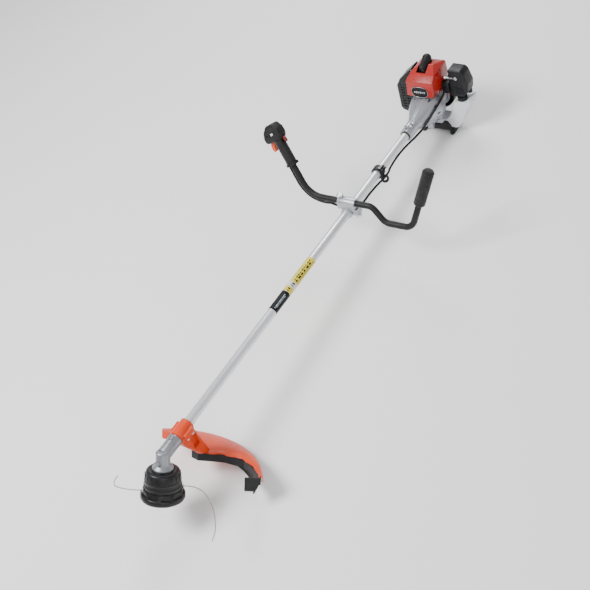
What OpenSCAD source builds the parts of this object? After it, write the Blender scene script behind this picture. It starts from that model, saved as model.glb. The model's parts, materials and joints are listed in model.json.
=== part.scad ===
// Petrol string trimmer with a straight shaft, bull-horn handlebar and bump-feed line head.
// The tool is drawn in its own frame first: X runs along the shaft from the cutting head to the
// engine, Z is up, and the origin is where the head's spin axis crosses the shaft. It is then
// leaned so that it rests on its guard and its engine stand.

/* [Shaft] */
// Outer diameter of the main tube
tube_d = 28; // [24:1:30]
// Wall thickness of the main tube
tube_wall = 1.5; // [1.2:0.1:2]
// Front end of the main tube, inside the gear case
tube_front = 34; // [32:1:40]
// Rear end of the main tube, inside the clutch housing
tube_rear = 1436; // [1430:1:1438]
// Diameter of the steel drive shaft
drive_d = 8; // [7:0.5:8]
// Number of bushings that carry the drive shaft
bushing_count = 5; // [3:1:7]

/* [Cutting head] */
// Angle between the head's spin axis and the shaft's perpendicular
head_tilt = 30; // [28:1:32]
// Distance from the shaft axis down to the head's lower rim
head_drop = 120; // [116:1:122]
// Diameter of the head's lower rim
rim_d = 118; // [110:1:120]
// Travel of the bump button
bump_travel = 6; // [3:1:8]
// Diameter of the nylon cutting line
line_d = 2.4; // [2:0.1:2.7]

/* [Guard] */
// Radius of the guard's outer edge about the head's axis
guard_r = 258; // [245:1:265]
// Height of the guard panel above the head's lower rim
guard_height = 72; // [66:1:76]
// Depth of the black skirt below the panel
skirt_depth = 50; // [40:1:54]

/* [Handlebar] */
// Place of the handlebar along the shaft
bar_x = 1000; // [960:5:1060]
// Height of the handlebar's axis above the shaft's axis
bar_z = 30; // [30:1:32]
// Rearward lean of the handlebar's plane
bar_lean = 15; // [5:1:20]
// Outer diameter of the handlebar
bar_d = 20; // [20:1:22]
// Place of the harness clamp along the shaft
harness_x = 1190; // [1150:5:1250]
// Diameter of the harness eyelet
eyelet_d = 11; // [9:1:12]

/* [Engine] */
// Radius of the fan housing
fan_case_r = 60; // [58:1:61]
// Cylinder bore
bore_d = 40; // [38:1:40]
// Piston stroke
stroke = 32; // [28:1:32]
// Depth of the fuel tank's floor below the shaft's axis
tank_drop = 94; // [92:1:96]

/* [Hidden] */
$fn = 64;
tiny = 0.01;
running_fit = 0.05;  // radial clearance of a shaft in its bearing
side_gap = 0.4;      // gap between faces that move past each other
cut = 1;             // how far a cutting shape runs past a face

// Rest pose on the ground
lean = 3.4;         // nose-up lean of the shaft at rest
mid_x = 779;         // middle of the tool's length, at rest
mid_y = -7.7;        // middle of the tool's width
lift = 212.83;        // height of the tool's origin above the ground

tube_r = tube_d / 2;
tube_in_r = tube_r - tube_wall;
drive_r = drive_d / 2;
bar_r = bar_d / 2;
rim_r = rim_d / 2;
rim_z = -head_drop;

// Bevel gears: 14 teeth on the pinion, 19 on the gear, shafts 120 degrees apart
pinion_teeth = 14;
gear_teeth = 19;
shaft_angle = 90 + head_tilt;
gear_r = 13.5;
pinion_cone = atan(sin(shaft_angle) / (gear_teeth / pinion_teeth + cos(shaft_angle)));
gear_cone = shaft_angle - pinion_cone;
cone_length = gear_r / sin(gear_cone);
tooth_face = 5;
tooth_depth = 1.6;
mesh_gap = 0.2;

// Gear case
case_r = 19;
gear_bore_r = 15;
bearing_r = 11;
output_r = 5;

// Clutch and crankcase stations along X
drum_x = 1510;
flywheel_x = 1544;
case_front_x = 1562;
case_rear_x = 1632;
cyl_x = 1598;
crank_r = stroke / 2;
rod_length = 56;
cyl_base_z = 44;

function unit(v) = v / norm(v);

// ---- placing ------------------------------------------------------------------------------
module at_rest() {
    translate([-mid_x, -mid_y, lift]) rotate([0, lean, 0]) children();
}

// Frame of the cutting head: Z up its spin axis, X towards the engine
module in_head() {
    at_rest() rotate([0, head_tilt, 0]) children();
}

// Frame of the handlebar: its pivot axis is Y, and Z leans to the rear with it
module in_handle() {
    at_rest() translate([bar_x, 0, bar_z]) rotate([0, bar_lean, 0]) children();
}

// Frame of the throttle grip: Z runs along the bar's right-hand horn
module in_grip() {
    in_handle() translate([0, horn_foot[0], horn_foot[1]])
        rotate([-atan2(horn_top[0] - horn_foot[0], horn_top[1] - horn_foot[1]), 0, 0]) children();
}

// ---- shared shapes ------------------------------------------------------------------------
module rod_x(x, len, r) {
    translate([x, 0, 0]) rotate([0, 90, 0]) cylinder(h = len, r = r);
}

module ring_x(x, len, r_out, r_in) {
    difference() {
        rod_x(x, len, r_out);
        rod_x(x - cut, len + 2 * cut, r_in);
    }
}

module ring_z(z, len, r_out, r_in) {
    translate([0, 0, z]) difference() {
        cylinder(h = len, r = r_out);
        translate([0, 0, -cut]) cylinder(h = len + 2 * cut, r = r_in);
    }
}

// Turned solid about the X axis from a profile of [x, r] points
module turned_x(profile) {
    rotate([0, 90, 0]) rotate_extrude() polygon([for (p = profile) [p[1], p[0]]]);
}

// Block given by its low and high corners
module block(low, high) {
    translate(low) cube(high - low);
}

// Plate drawn in the Y-Z plane, from x for the given thickness
module plate_yz(x, thick, outline) {
    translate([x, 0, 0]) rotate([90, 0, 90]) linear_extrude(thick) polygon(outline);
}

// Cap screw with its head's seat at the origin and its shank along -Z
module cap_screw(r, length) {
    cylinder(h = 2 * r, r = 1.7 * r, $fn = 24);
    translate([0, 0, -length]) cylinder(h = length, r = r, $fn = 24);
}

// Smooth curve through hand-picked points
function spline_point(a, b, c, d, t) =
    0.5 * (2 * b + (c - a) * t + (2 * a - 5 * b + 4 * c - d) * t * t
           + (3 * b - a - 3 * c + d) * t * t * t);
function smooth_route(p, n) = concat(
    [for (i = [0 : len(p) - 2]) for (k = [0 : n - 1])
        spline_point(p[max(i - 1, 0)], p[i], p[i + 1], p[min(i + 2, len(p) - 1)], k / n)],
    [p[len(p) - 1]]);
function heading(q, i) = unit(q[min(i + 1, len(q) - 1)] - q[max(i - 1, 0)]);
function ring_points(q, i, r, sides, ref) =
    let (t = heading(q, i), u = unit(cross(ref, t)), v = cross(t, u))
    [for (k = [0 : sides - 1]) q[i] + r * (cos(360 * k / sides) * u + sin(360 * k / sides) * v)];

module swept_cord(route, r, sides, ref) {
    rings = len(route);
    polyhedron(
        points = [for (i = [0 : rings - 1]) each ring_points(route, i, r, sides, ref)],
        faces = concat(
            [[for (k = [0 : sides - 1]) k]],
            [for (i = [0 : rings - 2]) for (k = [0 : sides - 1])
                [i * sides + k, (i + 1) * sides + k,
                 (i + 1) * sides + (k + 1) % sides, i * sides + (k + 1) % sides]],
            [[for (k = [sides - 1 : -1 : 0]) (rings - 1) * sides + k]]));
}

// Bent round bar in the Y-Z plane: corners with a bend radius each
function bend_half(p, i) =
    acos(unit(p[i - 1] - p[i]) * unit(p[i + 1] - p[i])) / 2;
function bend_start(p, rad, i) =
    i == 0 || i == len(p) - 1 ? p[i] : p[i] + unit(p[i - 1] - p[i]) * rad[i] / tan(bend_half(p, i));
function bend_end(p, rad, i) =
    i == 0 || i == len(p) - 1 ? p[i] : p[i] + unit(p[i + 1] - p[i]) * rad[i] / tan(bend_half(p, i));
function bend_centre(p, rad, i) =
    p[i] + unit(unit(p[i - 1] - p[i]) + unit(p[i + 1] - p[i])) * rad[i] / sin(bend_half(p, i));

// Each straight runs a little way into its bends, and a bend is a shade thinner than a straight
bend_lap = 1;
bend_step = 0.1;

module bent_bar(p, rad, r) {
    for (i = [0 : len(p) - 2]) {
        run = unit(bend_start(p, rad, i + 1) - bend_end(p, rad, i));
        a = bend_end(p, rad, i) - (i == 0 ? 0 : bend_lap) * run;
        b = bend_start(p, rad, i + 1) + (i == len(p) - 2 ? 0 : bend_lap) * run;
        translate([0, a[0], a[1]]) rotate([-atan2(run[0], run[1]), 0, 0])
            cylinder(h = norm(b - a), r = r);
    }
    for (i = [1 : len(p) - 2]) {
        c = bend_centre(p, rad, i);
        from = bend_start(p, rad, i) - c;
        to = bend_end(p, rad, i) - c;
        turn = atan2(cross(from, to), from * to);
        first = turn > 0 ? from : to;
        translate([0, c[0], c[1]]) rotate([90, 0, 90])
            rotate([0, 0, atan2(first[1], first[0])])
            rotate_extrude(angle = abs(turn)) translate([rad[i], 0]) circle(r = r - bend_step);
    }
}

// ---- gear case and drive ------------------------------------------------------------------
flange_z = -36;      // lower face of the gear case
flange_r = 28;
arm_rear = 58;       // rear end of the arm that grips the tube
pinion_seat = 22;    // front face of the pinion bearing
output_bearings = [-22, -33];
output_bearing_r = 13;
bearing_len = 7;

module gear_case() {
    color("silver") difference() {
        union() {
            in_head() {
                translate([0, 0, flange_z]) cylinder(h = 4, r = flange_r);
                translate([0, 0, flange_z + 4]) cylinder(h = 8, r1 = flange_r, r2 = case_r);
                translate([0, 0, flange_z + 4]) cylinder(h = 42, r = case_r);
                translate([0, 0, 10]) cylinder(h = 3, r1 = case_r, r2 = case_r - 3);
                rotate([0, 0, 180]) translate([case_r - 2, 0, -14]) rotate([0, 90, 0])
                    cylinder(h = 8, r = 7);
            }
            at_rest() rod_x(4, arm_rear - 4, case_r);
            at_rest() block([40, -6, 10], [54, 6, 25]);
        }
        in_head() translate([0, 0, -15]) cylinder(h = 21, r = gear_bore_r);
        in_head() translate([0, 0, -35]) cylinder(h = 21, r = output_bearing_r);
        in_head() translate([0, 0, flange_z - cut]) cylinder(h = 6, r = output_r + 1);
        at_rest() rod_x(0, tube_front, bearing_r);
        at_rest() rod_x(tube_front, arm_rear - tube_front + cut, tube_r);
        at_rest() block([39, -1, 12], [arm_rear + cut, 1, 27]);
    }
}

// Straight-cut bevel teeth below the pitch cone, on a blank whose apex is the origin
module bevel_teeth(teeth, cone, bore) {
    back = cone_length * cos(cone);
    front = (cone_length - tooth_face) * cos(cone);
    difference() {
        translate([0, 0, front]) cylinder(h = back - front,
            r1 = (cone_length - tooth_face) * sin(cone) - mesh_gap,
            r2 = cone_length * sin(cone) - mesh_gap);
        for (k = [0 : teeth - 1])
            rotate([0, 0, k * 360 / teeth]) rotate([0, cone, 0])
                translate([-tooth_depth, -tooth_depth / 2, 0])
                    cube([2 * tooth_depth, tooth_depth, cone_length + 2]);
        translate([0, 0, front - cut]) cylinder(h = back + 2 * cut, r = bore);
    }
}

module bevel_pinion() {
    hub_x = cone_length * cos(pinion_cone);
    color("dimgray") at_rest() difference() {
        union() {
            rotate([0, 90, 0]) bevel_teeth(pinion_teeth, pinion_cone, drive_r - 1);
            ring_x(hub_x, pinion_seat - hub_x, 8, drive_r - 1);
            ring_x(pinion_seat, 12, output_r - running_fit, drive_r - 1);
        }
        rod_x(pinion_seat + 2, 20, drive_r);
    }
}

module bevel_gear() {
    hub_z = -cone_length * cos(gear_cone);
    color("dimgray") in_head() {
        rotate([180, 0, 0]) bevel_teeth(gear_teeth, gear_cone, output_r);
        ring_z(-14, hub_z + 14, 10, output_r);
    }
}

module output_shaft() {
    top_z = -(cone_length - tooth_face) * cos(gear_cone) - 0.5;
    color("gray") in_head() {
        translate([0, 0, -14]) cylinder(h = 14 + top_z, r = output_r);
        translate([0, 0, -40]) cylinder(h = 26, r = output_r - running_fit);
        translate([0, 0, -100]) cylinder(h = 60, r = output_r);
    }
}

module ball_bearings() {
    color("lightgray") {
        for (z = output_bearings) in_head() ring_z(z, bearing_len, output_bearing_r, output_r);
        at_rest() ring_x(pinion_seat, bearing_len, bearing_r, output_r);
        at_rest() ring_x(drum_bearing_x, drum_bearing_len, drum_bearing_r, drum_hub_r);
        for (x = crank_bearing_x) at_rest() ring_x(x, crank_bearing_len, crank_bearing_r, journal_r);
    }
}

module main_tube() {
    color("gainsboro") at_rest() ring_x(tube_front, tube_rear - tube_front, tube_r, tube_in_r);
}

module drive_shaft() {
    color("gray") at_rest() rod_x(pinion_seat + 2, drum_socket_x - pinion_seat - 2, drive_r);
}

module shaft_bushings() {
    pitch = (tube_rear - tube_front) / bushing_count;
    color("saddlebrown") at_rest() for (i = [0 : bushing_count - 1])
        ring_x(tube_front + (i + 0.5) * pitch - 12, 24, tube_in_r, drive_r + 2 * running_fit);
}

// ---- trimmer head -------------------------------------------------------------------------
shell_top = -38;
shell_foot = -102;
eyelet_z = -94;
eyelet_turn = -40;   // where the right-hand line leaves the rim, about the spin axis
spool_top = -60;
spool_foot = -104;
button_r = 26;

// Bell outline of the head, outside face, from the top to the foot
shell_side = [[40, shell_top], [44, -42], [46, -50], [47, -64], [48.5, -65.5], [48.5, -68],
              [48, -70], [49, -78], [50.5, -79.5], [50.5, -82], [50, -84], [51, shell_foot]];

module head_shell() {
    wall = 3;
    color("#1c1c1e") in_head() difference() {
        rotate_extrude($fn = 96) polygon(concat(
            [[output_r, shell_top - 6], [output_r, shell_top - 1], [29, shell_top - 1]],
            [[30, shell_top]], shell_side,
            [[51 - wall, shell_foot], [47, -86], [44, -60], [40, -48], [20, -46],
             [12, -58], [output_r, -58]]));
        for (side = [0, 180]) rotate([0, 0, eyelet_turn + side])
            translate([40, 0, eyelet_z]) rotate([0, 90, 0]) cylinder(h = 20, r = 4);
    }
}

module head_cover() {
    color("#161617") in_head() difference() {
        union() {
            translate([0, 0, rim_z]) cylinder(h = 5, r1 = rim_r - 2, r2 = rim_r, $fn = 96);
            translate([0, 0, rim_z + 5]) cylinder(h = 7, r = rim_r, $fn = 96);
            translate([0, 0, rim_z + 12]) cylinder(h = 4, r1 = rim_r, r2 = rim_r - 4, $fn = 96);
        }
        translate([0, 0, rim_z + 4]) cylinder(h = 20, r = rim_r - 9);
        translate([0, 0, rim_z - cut]) cylinder(h = 20, r = button_r + 1);
    }
}

module line_spool() {
    color("#303033") in_head() {
        ring_z(spool_foot, 3, 42, 12);
        ring_z(spool_top - 3, 3, 38, 12);
        ring_z(-84, 3, 42, 12);
        ring_z(spool_foot + 3, spool_top - spool_foot - 6, 24, 12);
    }
}

module spool_spring() {
    turns = 4;
    coil_r = 9.5;
    steps = 12;
    route = [for (k = [0 : turns * steps])
        [coil_r * cos(360 * k / steps), coil_r * sin(360 * k / steps),
         -99 + 36 * k / (turns * steps)]];
    color("silver") in_head() swept_cord(route, 0.8, 6, [0, 0, 1]);
}

module bump_button() {
    color("#0f0f10") in_head() difference() {
        union() {
            translate([0, 0, rim_z - 8]) cylinder(h = 6, r1 = 20, r2 = button_r);
            translate([0, 0, rim_z - 2]) cylinder(h = 9, r = button_r);
        }
        translate([0, 0, rim_z + 1]) cylinder(h = 7, r = button_r - 3);
    }
}

module line_eyelets() {
    color("silver") in_head() for (side = [0, 180]) rotate([0, 0, eyelet_turn + side])
        translate([0, 0, eyelet_z]) {
            ring_x(46, 7, 4, 1.8);
            ring_x(53, 1.5, 5.5, 1.8);
        }
}

// Routes of the two line ends in the head's frame, leaving the eyelets radially
line_left_route = [[-41.4, 34.7, -94], [-49, 46, -94.5], [-56, 64, -96], [-62, 88, -98],
                   [-61, 110, -100], [-50, 126, -101], [-34, 137, -101], [-16, 144, -100]];
line_right_route = [[41.4, -34.7, -94], [51, -44, -95], [61, -60, -98], [62, -84, -102],
                    [50, -112, -107], [30, -142, -114], [5, -170, -122], [-26, -196, -131],
                    [-58, -212, -140]];

module cutting_line_left() {
    color("tan") in_head() swept_cord(smooth_route(line_left_route, 6), line_d / 2, 8, [0, 0, 1]);
}

module cutting_line_right() {
    color("tan") in_head() swept_cord(smooth_route(line_right_route, 6), line_d / 2, 8, [0, 0, 1]);
}

// ---- guard --------------------------------------------------------------------------------
panel_z = guard_height - head_drop;   // top face of the panel, in the head's frame
panel_t = 3;
skirt_foot_z = panel_z - skirt_depth;
panel_left = 42;     // the panel's ends, as turns about the head's axis
panel_right = -57;
skirt_left = 8;
skirt_lip = 22;       // depth of the skirt's inner wall, under the panel's inner edge
neck_foot_x = 127;
clamp_front = 60;    // the guard's saddle on the tube
clamp_rear = 112;
clamp_r = 20;

function arc(r, from, to, n) = [for (k = [0 : n]) let (a = from + (to - from) * k / n)
                                r * [cos(a), sin(a)]];

// Inner edge of the panel: it sweeps in to the saddle and out to both tips
panel_inner = [[250, -56], [240, -46], [223, -33], [190, -20], [160, -9], [142, 0], [148, 10],
               [168, 20], [184, 28], [186, 34], [196, 41]];

// Points a to b of that edge, moved outwards
function panel_edge(out, a, b) = [for (k = [a : (a < b ? 1 : -1) : b])
    (panel_inner[k][0] + out) * [cos(panel_inner[k][1]), sin(panel_inner[k][1])]];

module guard_outline() {
    polygon(concat(arc(guard_r - 1.5, panel_right, panel_left, 33),
                   panel_edge(0, len(panel_inner) - 1, 0)));
}

module guard_panel() {
    color("orangered") difference() {
        union() {
            in_head() translate([0, 0, panel_z - panel_t]) linear_extrude(panel_t) guard_outline();
            in_head() rotate([0, 0, panel_right - 0.5])
                rotate_extrude(angle = panel_left - panel_right + 1, $fn = 96)
                    polygon([[guard_r - 3, panel_z - 14], [guard_r, panel_z - 14],
                             [guard_r, panel_z - 0.5], [guard_r - 3, panel_z - 0.5]]);
            // neck from the panel up to the tube
            difference() {
                at_rest() rotate([90, 0, 0]) translate([0, 0, -18]) linear_extrude(36)
                    polygon([[clamp_front, 0], [clamp_rear, 0], [clamp_rear, -16],
                             [neck_foot_x, -130], [97, -112], [clamp_front, -30]]);
                in_head() translate([60, -40, panel_z - 60]) cube([200, 80, 59]);
            }
            at_rest() difference() {
                rod_x(clamp_front, clamp_rear - clamp_front, clamp_r);
                block([0, -30, 0], [200, 30, 30]);
            }
            for (side = [-1, 1]) at_rest()
                block([clamp_front + 8, side * 21 - 6, -9], [clamp_rear - 8, side * 21 + 6, 0]);
        }
        at_rest() rod_x(clamp_front - cut, 80, tube_r);
        // bolt pocket on the left flank of the neck
        at_rest() block([86, -23, -70], [122, -12, -24]);
        at_rest() block([86, 12, -70], [122, 23, -24]);
        for (side = [-1, 1], x = guard_bolt_x) at_rest()
            translate([x, side * guard_bolt_y, -10]) {
                cylinder(h = 12, r = 2.5);
                translate([0, 0, -29]) cylinder(h = 30, r = 4.6);
            }
    }
}

guard_bolt_x = [clamp_front + 15, clamp_rear - 15];
guard_bolt_y = 22.5;

module guard_clamp() {
    color("orangered") at_rest() difference() {
        union() {
            rod_x(clamp_front, clamp_rear - clamp_front, clamp_r);
            for (side = [-1, 1])
                block([clamp_front + 8, side * 21 - 6, 0], [clamp_rear - 8, side * 21 + 6, 7]);
        }
        block([0, -40, -30], [200, 40, 0]);
        rod_x(clamp_front - cut, 80, tube_r);
        for (side = [-1, 1], x = guard_bolt_x)
            translate([x, side * guard_bolt_y, -cut]) cylinder(h = 6, r = 2.5);
    }
}

module guard_skirt() {
    color("#202022") in_head() {
        rotate([0, 0, panel_right]) rotate_extrude(angle = skirt_left - panel_right, $fn = 96)
            polygon([[251.5, panel_z - panel_t], [254.5, panel_z - panel_t],
                     [254.5, panel_z - 14], [238, skirt_foot_z], [235, skirt_foot_z],
                     [251.5, panel_z - 16]]);
        // inner wall, along the panel's inner edge as far as the neck
        translate([0, 0, panel_z - panel_t - skirt_lip]) linear_extrude(skirt_lip)
            polygon(concat(panel_edge(1, 0, 6), panel_edge(4, 6, 0)));
        // end plate that carries the line cutter
        rotate([90, 0, panel_right + 0.4]) translate([0, 0, -2]) linear_extrude(4)
            polygon([[212, skirt_foot_z + 8], [237, skirt_foot_z + 8], [252, panel_z - 20],
                     [252, panel_z - panel_t - 1], [212, panel_z - panel_t - 1]]);
    }
}

cutter_r = 212;      // inner end of the cutter, from the head's axis
cutter_hole_x = [5, 17];

module line_cutter() {
    color("silver") in_head() rotate([0, 0, panel_right + 0.4])
        translate([cutter_r, 2, skirt_foot_z + 2]) difference() {
            cube([22, 1.5, 20]);
            for (x = cutter_hole_x) translate([x, 2, 14]) rotate([90, 0, 0]) cylinder(h = 4, r = 2);
        }
}

// ---- harness clamp and handlebar clamp ----------------------------------------------------
ear_turn = -40;      // the eyelet hangs to the right of straight down
ear_drop = 31;
eyelet_wall = 8;
eyelet_len = 8;

module harness_clamp() {
    color("#1a1a1a") at_rest() translate([harness_x, 0, 0]) rotate([ear_turn, 0, 0]) difference() {
        union() {
            rod_x(-11, 22, tube_r + 6);
            translate([-5, -6, -ear_drop + 10]) cube([10, 12, 8]);
            translate([0, 0, -ear_drop]) rotate([0, 0, 45])
                rod_x(-eyelet_len / 2, eyelet_len, eyelet_d / 2 + eyelet_wall);
            block([-10, -30, 1], [10, -14, 7]);
            block([-10, -30, -7], [10, -14, -1]);
        }
        rod_x(-12, 24, tube_r);
        translate([0, 0, -ear_drop]) rotate([0, 0, 45]) rod_x(-6, 12, eyelet_d / 2);
        block([-12, -31, -1], [12, -12, 1]);
        for (x = [-5, 5]) translate([x, -25.5, -8]) cylinder(h = 16, r = 2.5);
    }
}

clamp_half = 30;     // half length of the clamp along the bar
clamp_half_x = 17;
block_top = bar_z + bar_r + 6;
knob_y = 24;
knob_right_y = 29;

module bar_clamp_base() {
    color("lightgray") at_rest() difference() {
        union() {
            rod_x(bar_x - 22, 44, tube_r + 5);
            block([bar_x - clamp_half_x, -clamp_half, 12],
                  [bar_x + clamp_half_x, clamp_half, bar_z]);
            block([bar_x - 14, -36, -8], [bar_x + 14, -14, 14]);
        }
        rod_x(bar_x - 30, 60, tube_r);
        translate([bar_x, -60, bar_z]) rotate([-90, 0, 0])
            cylinder(h = 120, r = bar_r + 2 * running_fit);
        block([bar_x - 17, -37, 2], [bar_x + 17, -13, 4]);
        translate([bar_x, -knob_right_y, -9]) cylinder(h = 17, r = 3);
    }
}

module bar_clamp_cap() {
    color("lightgray") at_rest() difference() {
        union() {
            block([bar_x - clamp_half_x, -clamp_half, bar_z],
                  [bar_x + clamp_half_x, clamp_half, bar_z + 6]);
            translate([bar_x, -clamp_half, bar_z]) rotate([-90, 0, 0])
                cylinder(h = 2 * clamp_half, r = bar_r + 6);
        }
        block([bar_x - 30, -40, 0], [bar_x + 30, 40, bar_z]);
        translate([bar_x, -60, bar_z]) rotate([-90, 0, 0])
            cylinder(h = 120, r = bar_r + 2 * running_fit);
        translate([bar_x, knob_y, bar_z + bar_r]) cylinder(h = 30, r = 3);
    }
}

// Hand knob with five lobes; its screw runs down -Z
module hand_knob(screw_len) {
    difference() {
        cylinder(h = 9, r = 11, $fn = 48);
        for (k = [0 : 4]) rotate([0, 0, k * 72]) translate([13, 0, -cut]) cylinder(h = 12, r = 5);
    }
    translate([0, 0, -screw_len]) cylinder(h = screw_len, r = 2.7);
}

module clamp_knob_left() {
    color("silver") at_rest() translate([bar_x, knob_y, block_top + 0.5]) hand_knob(4);
}

module clamp_knob_right() {
    color("silver") at_rest() translate([bar_x, -knob_right_y, -9]) rotate([180, 0, 0]) hand_knob(15);
}

// ---- handlebar, in its own plane: [across, up] --------------------------------------------
horn_top = [240, 180];
horn_foot = [140, 0];
grip_top = [-284, 148];
bar_path = [horn_top, horn_foot, [-86, 0], [-130, -46], [-222, -46], grip_top];
bar_bends = [0, 80, 34, 34, 34, 0];
grip_angle = atan2(bar_path[5][0] - bar_path[4][0], bar_path[5][1] - bar_path[4][1]);

module handlebar() {
    color("#222224") in_handle() bent_bar(bar_path, bar_bends, bar_r);
}

foam_r = 18;

module foam_grip() {
    color("#2b2b2d") in_handle() translate([0, grip_top[0], grip_top[1]]) rotate([-grip_angle, 0, 0])
        translate([0, 0, -113]) difference() {
            union() {
                cylinder(h = 112, r = foam_r);
                translate([0, 0, 112]) cylinder(h = 6, r1 = foam_r, r2 = foam_r - 5);
                translate([0, 0, -3]) cylinder(h = 3, r1 = foam_r - 3, r2 = foam_r);
            }
            translate([0, 0, -4]) cylinder(h = 117, r = bar_r);
        }
}

// ---- throttle grip, in the grip's frame ---------------------------------------------------
grip_foot = 108;
grip_r = 17;
trigger_pivot = [20, 206];
lockout_pivot = [-14, 207];
case_half = 18;
head_outline = [[-21, 198], [-28, 212], [-28, 232], [-16, 252], [12, 253], [32, 237],
                [42, 218], [41, 204], [30, 198]];
head_hollow = [[-19, 202], [-25, 213], [-25, 231], [-14, 249], [11, 250], [29, 235],
               [38.5, 217], [37.5, 206], [28, 202]];

module grip_half(side) {
    in_grip() difference() {
        union() {
            intersection() {
                union() {
                    translate([0, 0, grip_foot]) cylinder(h = 95, r = grip_r);
                    translate([0, 0, grip_foot]) cylinder(h = 8, r = 21);
                }
                block([side < 0 ? -60 : 0, -60, 0], [side < 0 ? 0 : 60, 60, 300]);
            }
            plate_yz(side < 0 ? -case_half : 0, case_half, head_outline);
        }
        translate([0, 0, 100]) cylinder(h = 106, r = bar_r);
        plate_yz(side < 0 ? -case_half + 3 : -tiny, case_half - 3 + tiny, head_hollow);
        block([-7, 11, 186], [7, 40, 206]);
        block([-6, -36, 186], [6, -9, 207]);
        for (s = grip_screw_at) translate([-30, s[0], s[1]]) rotate([0, 90, 0])
            cylinder(h = 60, r = 1.5);
    }
}

grip_screw_at = [[-12, 242], [27, 224]];

module throttle_case_front() {
    color("#1b1b1d") difference() {
        grip_half(-1);
        in_grip() block([-case_half - cut, -6, 218], [-case_half + 4, 12, 227]);
    }
}

module throttle_case_rear() {
    color("#1b1b1d") {
        grip_half(1);
        for (pivot = [trigger_pivot, lockout_pivot]) in_grip()
            translate([-case_half + 3, pivot[0], pivot[1]]) rotate([0, 90, 0])
                cylinder(h = 2 * case_half - 6, r = 1.9, $fn = 24);
    }
}

module throttle_trigger() {
    color("orangered") in_grip() difference() {
        plate_yz(-5, 10, [[15.5, 207], [18, 211], [23, 210], [37, 193], [41, 178],
                          [36, 168], [28, 170], [26, 186], [19, 197]]);
        translate([-10, trigger_pivot[0], trigger_pivot[1]]) rotate([0, 90, 0])
            cylinder(h = 20, r = 2, $fn = 24);
    }
}

module throttle_lockout() {
    color("darkred") in_grip() difference() {
        plate_yz(-4, 8, [[-10, 208], [-13, 211.5], [-17, 210], [-28, 197], [-29, 184], [-24.5, 182],
                         [-21.5, 190], [-18, 200]]);
        translate([-10, lockout_pivot[0], lockout_pivot[1]]) rotate([0, 90, 0])
            cylinder(h = 20, r = 2, $fn = 24);
    }
}

module stop_switch() {
    color("lightgray") in_grip() {
        block([-case_half - 3.5, -5, 219], [-case_half - side_gap, 4, 226]);
        block([-case_half - side_gap, -4.5, 219.5], [-case_half + 2, 3.5, 225.5]);
    }
}

module grip_screws() {
    color("silver") in_grip() for (s = grip_screw_at)
        translate([-case_half, s[0], s[1]]) rotate([0, -90, 0]) cap_screw(1.5, 12);
}

// ---- throttle cable -----------------------------------------------------------------------
cable_r = 3;
cable_join = 60;
cable_offset = bar_r + cable_r + 0.6;
cable_lower_route = [[1579, -62, 62], [1571, -62, 55], [1556, -58, 42], [1530, -55, 32],
                     [1508, -50, 22], [1488, -44, 10], [1472, -38, 0], [1461, -32, -10],
                     [1448, -27, -17], [1430, -23, -20], [1404, -20, -20], [1380, -16, -20],
                     [1340, -12, -18], [1290, -12, -16], [1235, -17, -15], [1206, -27, -9],
                     [1174, -27, -9], [1145, -17, -15], [1100, -12, -17], [1065, -8, -22],
                     [1044, 8, -26], [1028, 24, -21], [1012, 37, -6], [999, 48, 10],
                     [996, 55, 15], [996, cable_join, 15]];
cable_upper_route = [[0, cable_join + 1, -cable_offset], [0, 76, -16], [0, 100, -15],
                     [0, 122, -10], [0, 142, -1], [0, 160, 13], [0, 176, 32],
                     [0, 194, 64], [0, 201, 78], [0, 205, 85.6]];

module cable_upper() {
    color("#151515") in_handle() swept_cord(smooth_route(cable_upper_route, 4), cable_r, 10,
                                            [1, 0, 0]);
}

module cable_lower() {
    color("#151515") at_rest() swept_cord(smooth_route(cable_lower_route, 4), cable_r, 10,
                                          [0.3, 0.5, 1]);
}

// ---- clutch and fan housing ---------------------------------------------------------------
collar_front = 1384;
drum_bearing_x = 1446;
drum_bearing_len = 12;
drum_bearing_r = 17;
drum_hub_r = 7.5;
drum_socket_x = 1468;
drum_r = 30;
drum_len = 24;
housing_lug = [[1536, -16, -80], [1548, 4, -52]];

module clutch_housing() {
    color("silver") at_rest() difference() {
        union() {
            turned_x([[collar_front, 0], [collar_front, 21], [1442, 21], [1450, 25], [1464, 29],
                      [1500, 46], [1530, fan_case_r - 3], [1544, fan_case_r],
                      [case_front_x, fan_case_r],
                      [case_front_x, 0]]);
            block([1396, -8, 16], [1432, 8, 32]);
            block(housing_lug[0], housing_lug[1]);
            for (a = [135, 225]) rotate([a, 0, 0]) translate([0, 0, fan_case_r - 2])
                rod_x(1544, case_front_x - 1544, 6);
        }
        rod_x(collar_front - cut, tube_rear - collar_front + cut, tube_r);
        rod_x(tube_rear - cut, 20, 9);
        rod_x(drum_bearing_x, 18, drum_bearing_r);
        rod_x(drum_bearing_x + 14, drum_x - drum_bearing_x - 14, 22);
        rod_x(drum_x - 6, 42, drum_r + 4);
        rod_x(1541, case_front_x - 1541 + cut, fan_case_r - 4);
        block([collar_front - cut, -1.5, 13], [1434, 1.5, 33]);
        for (x = [1405, 1423]) translate([x, 0, 24]) rotate([90, 0, 0])
            translate([0, 0, -10]) cylinder(h = 20, r = 3);
        // air slots in the cone
        for (a = [-150 : 30 : 150]) rotate([a, 0, 0]) translate([1518, -3, 32]) cube([14, 6, 40]);
    }
}

module clutch_drum() {
    color("gray") at_rest() difference() {
        union() {
            rod_x(drum_bearing_x - 2, drum_x - drum_bearing_x + 4, drum_hub_r - running_fit);
            rod_x(drum_x, drum_len, drum_r);
        }
        rod_x(drum_x + 3, drum_len, drum_r - 3);
        rod_x(drum_bearing_x - 3, drum_socket_x - drum_bearing_x + 3, drive_r);
    }
}

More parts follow.
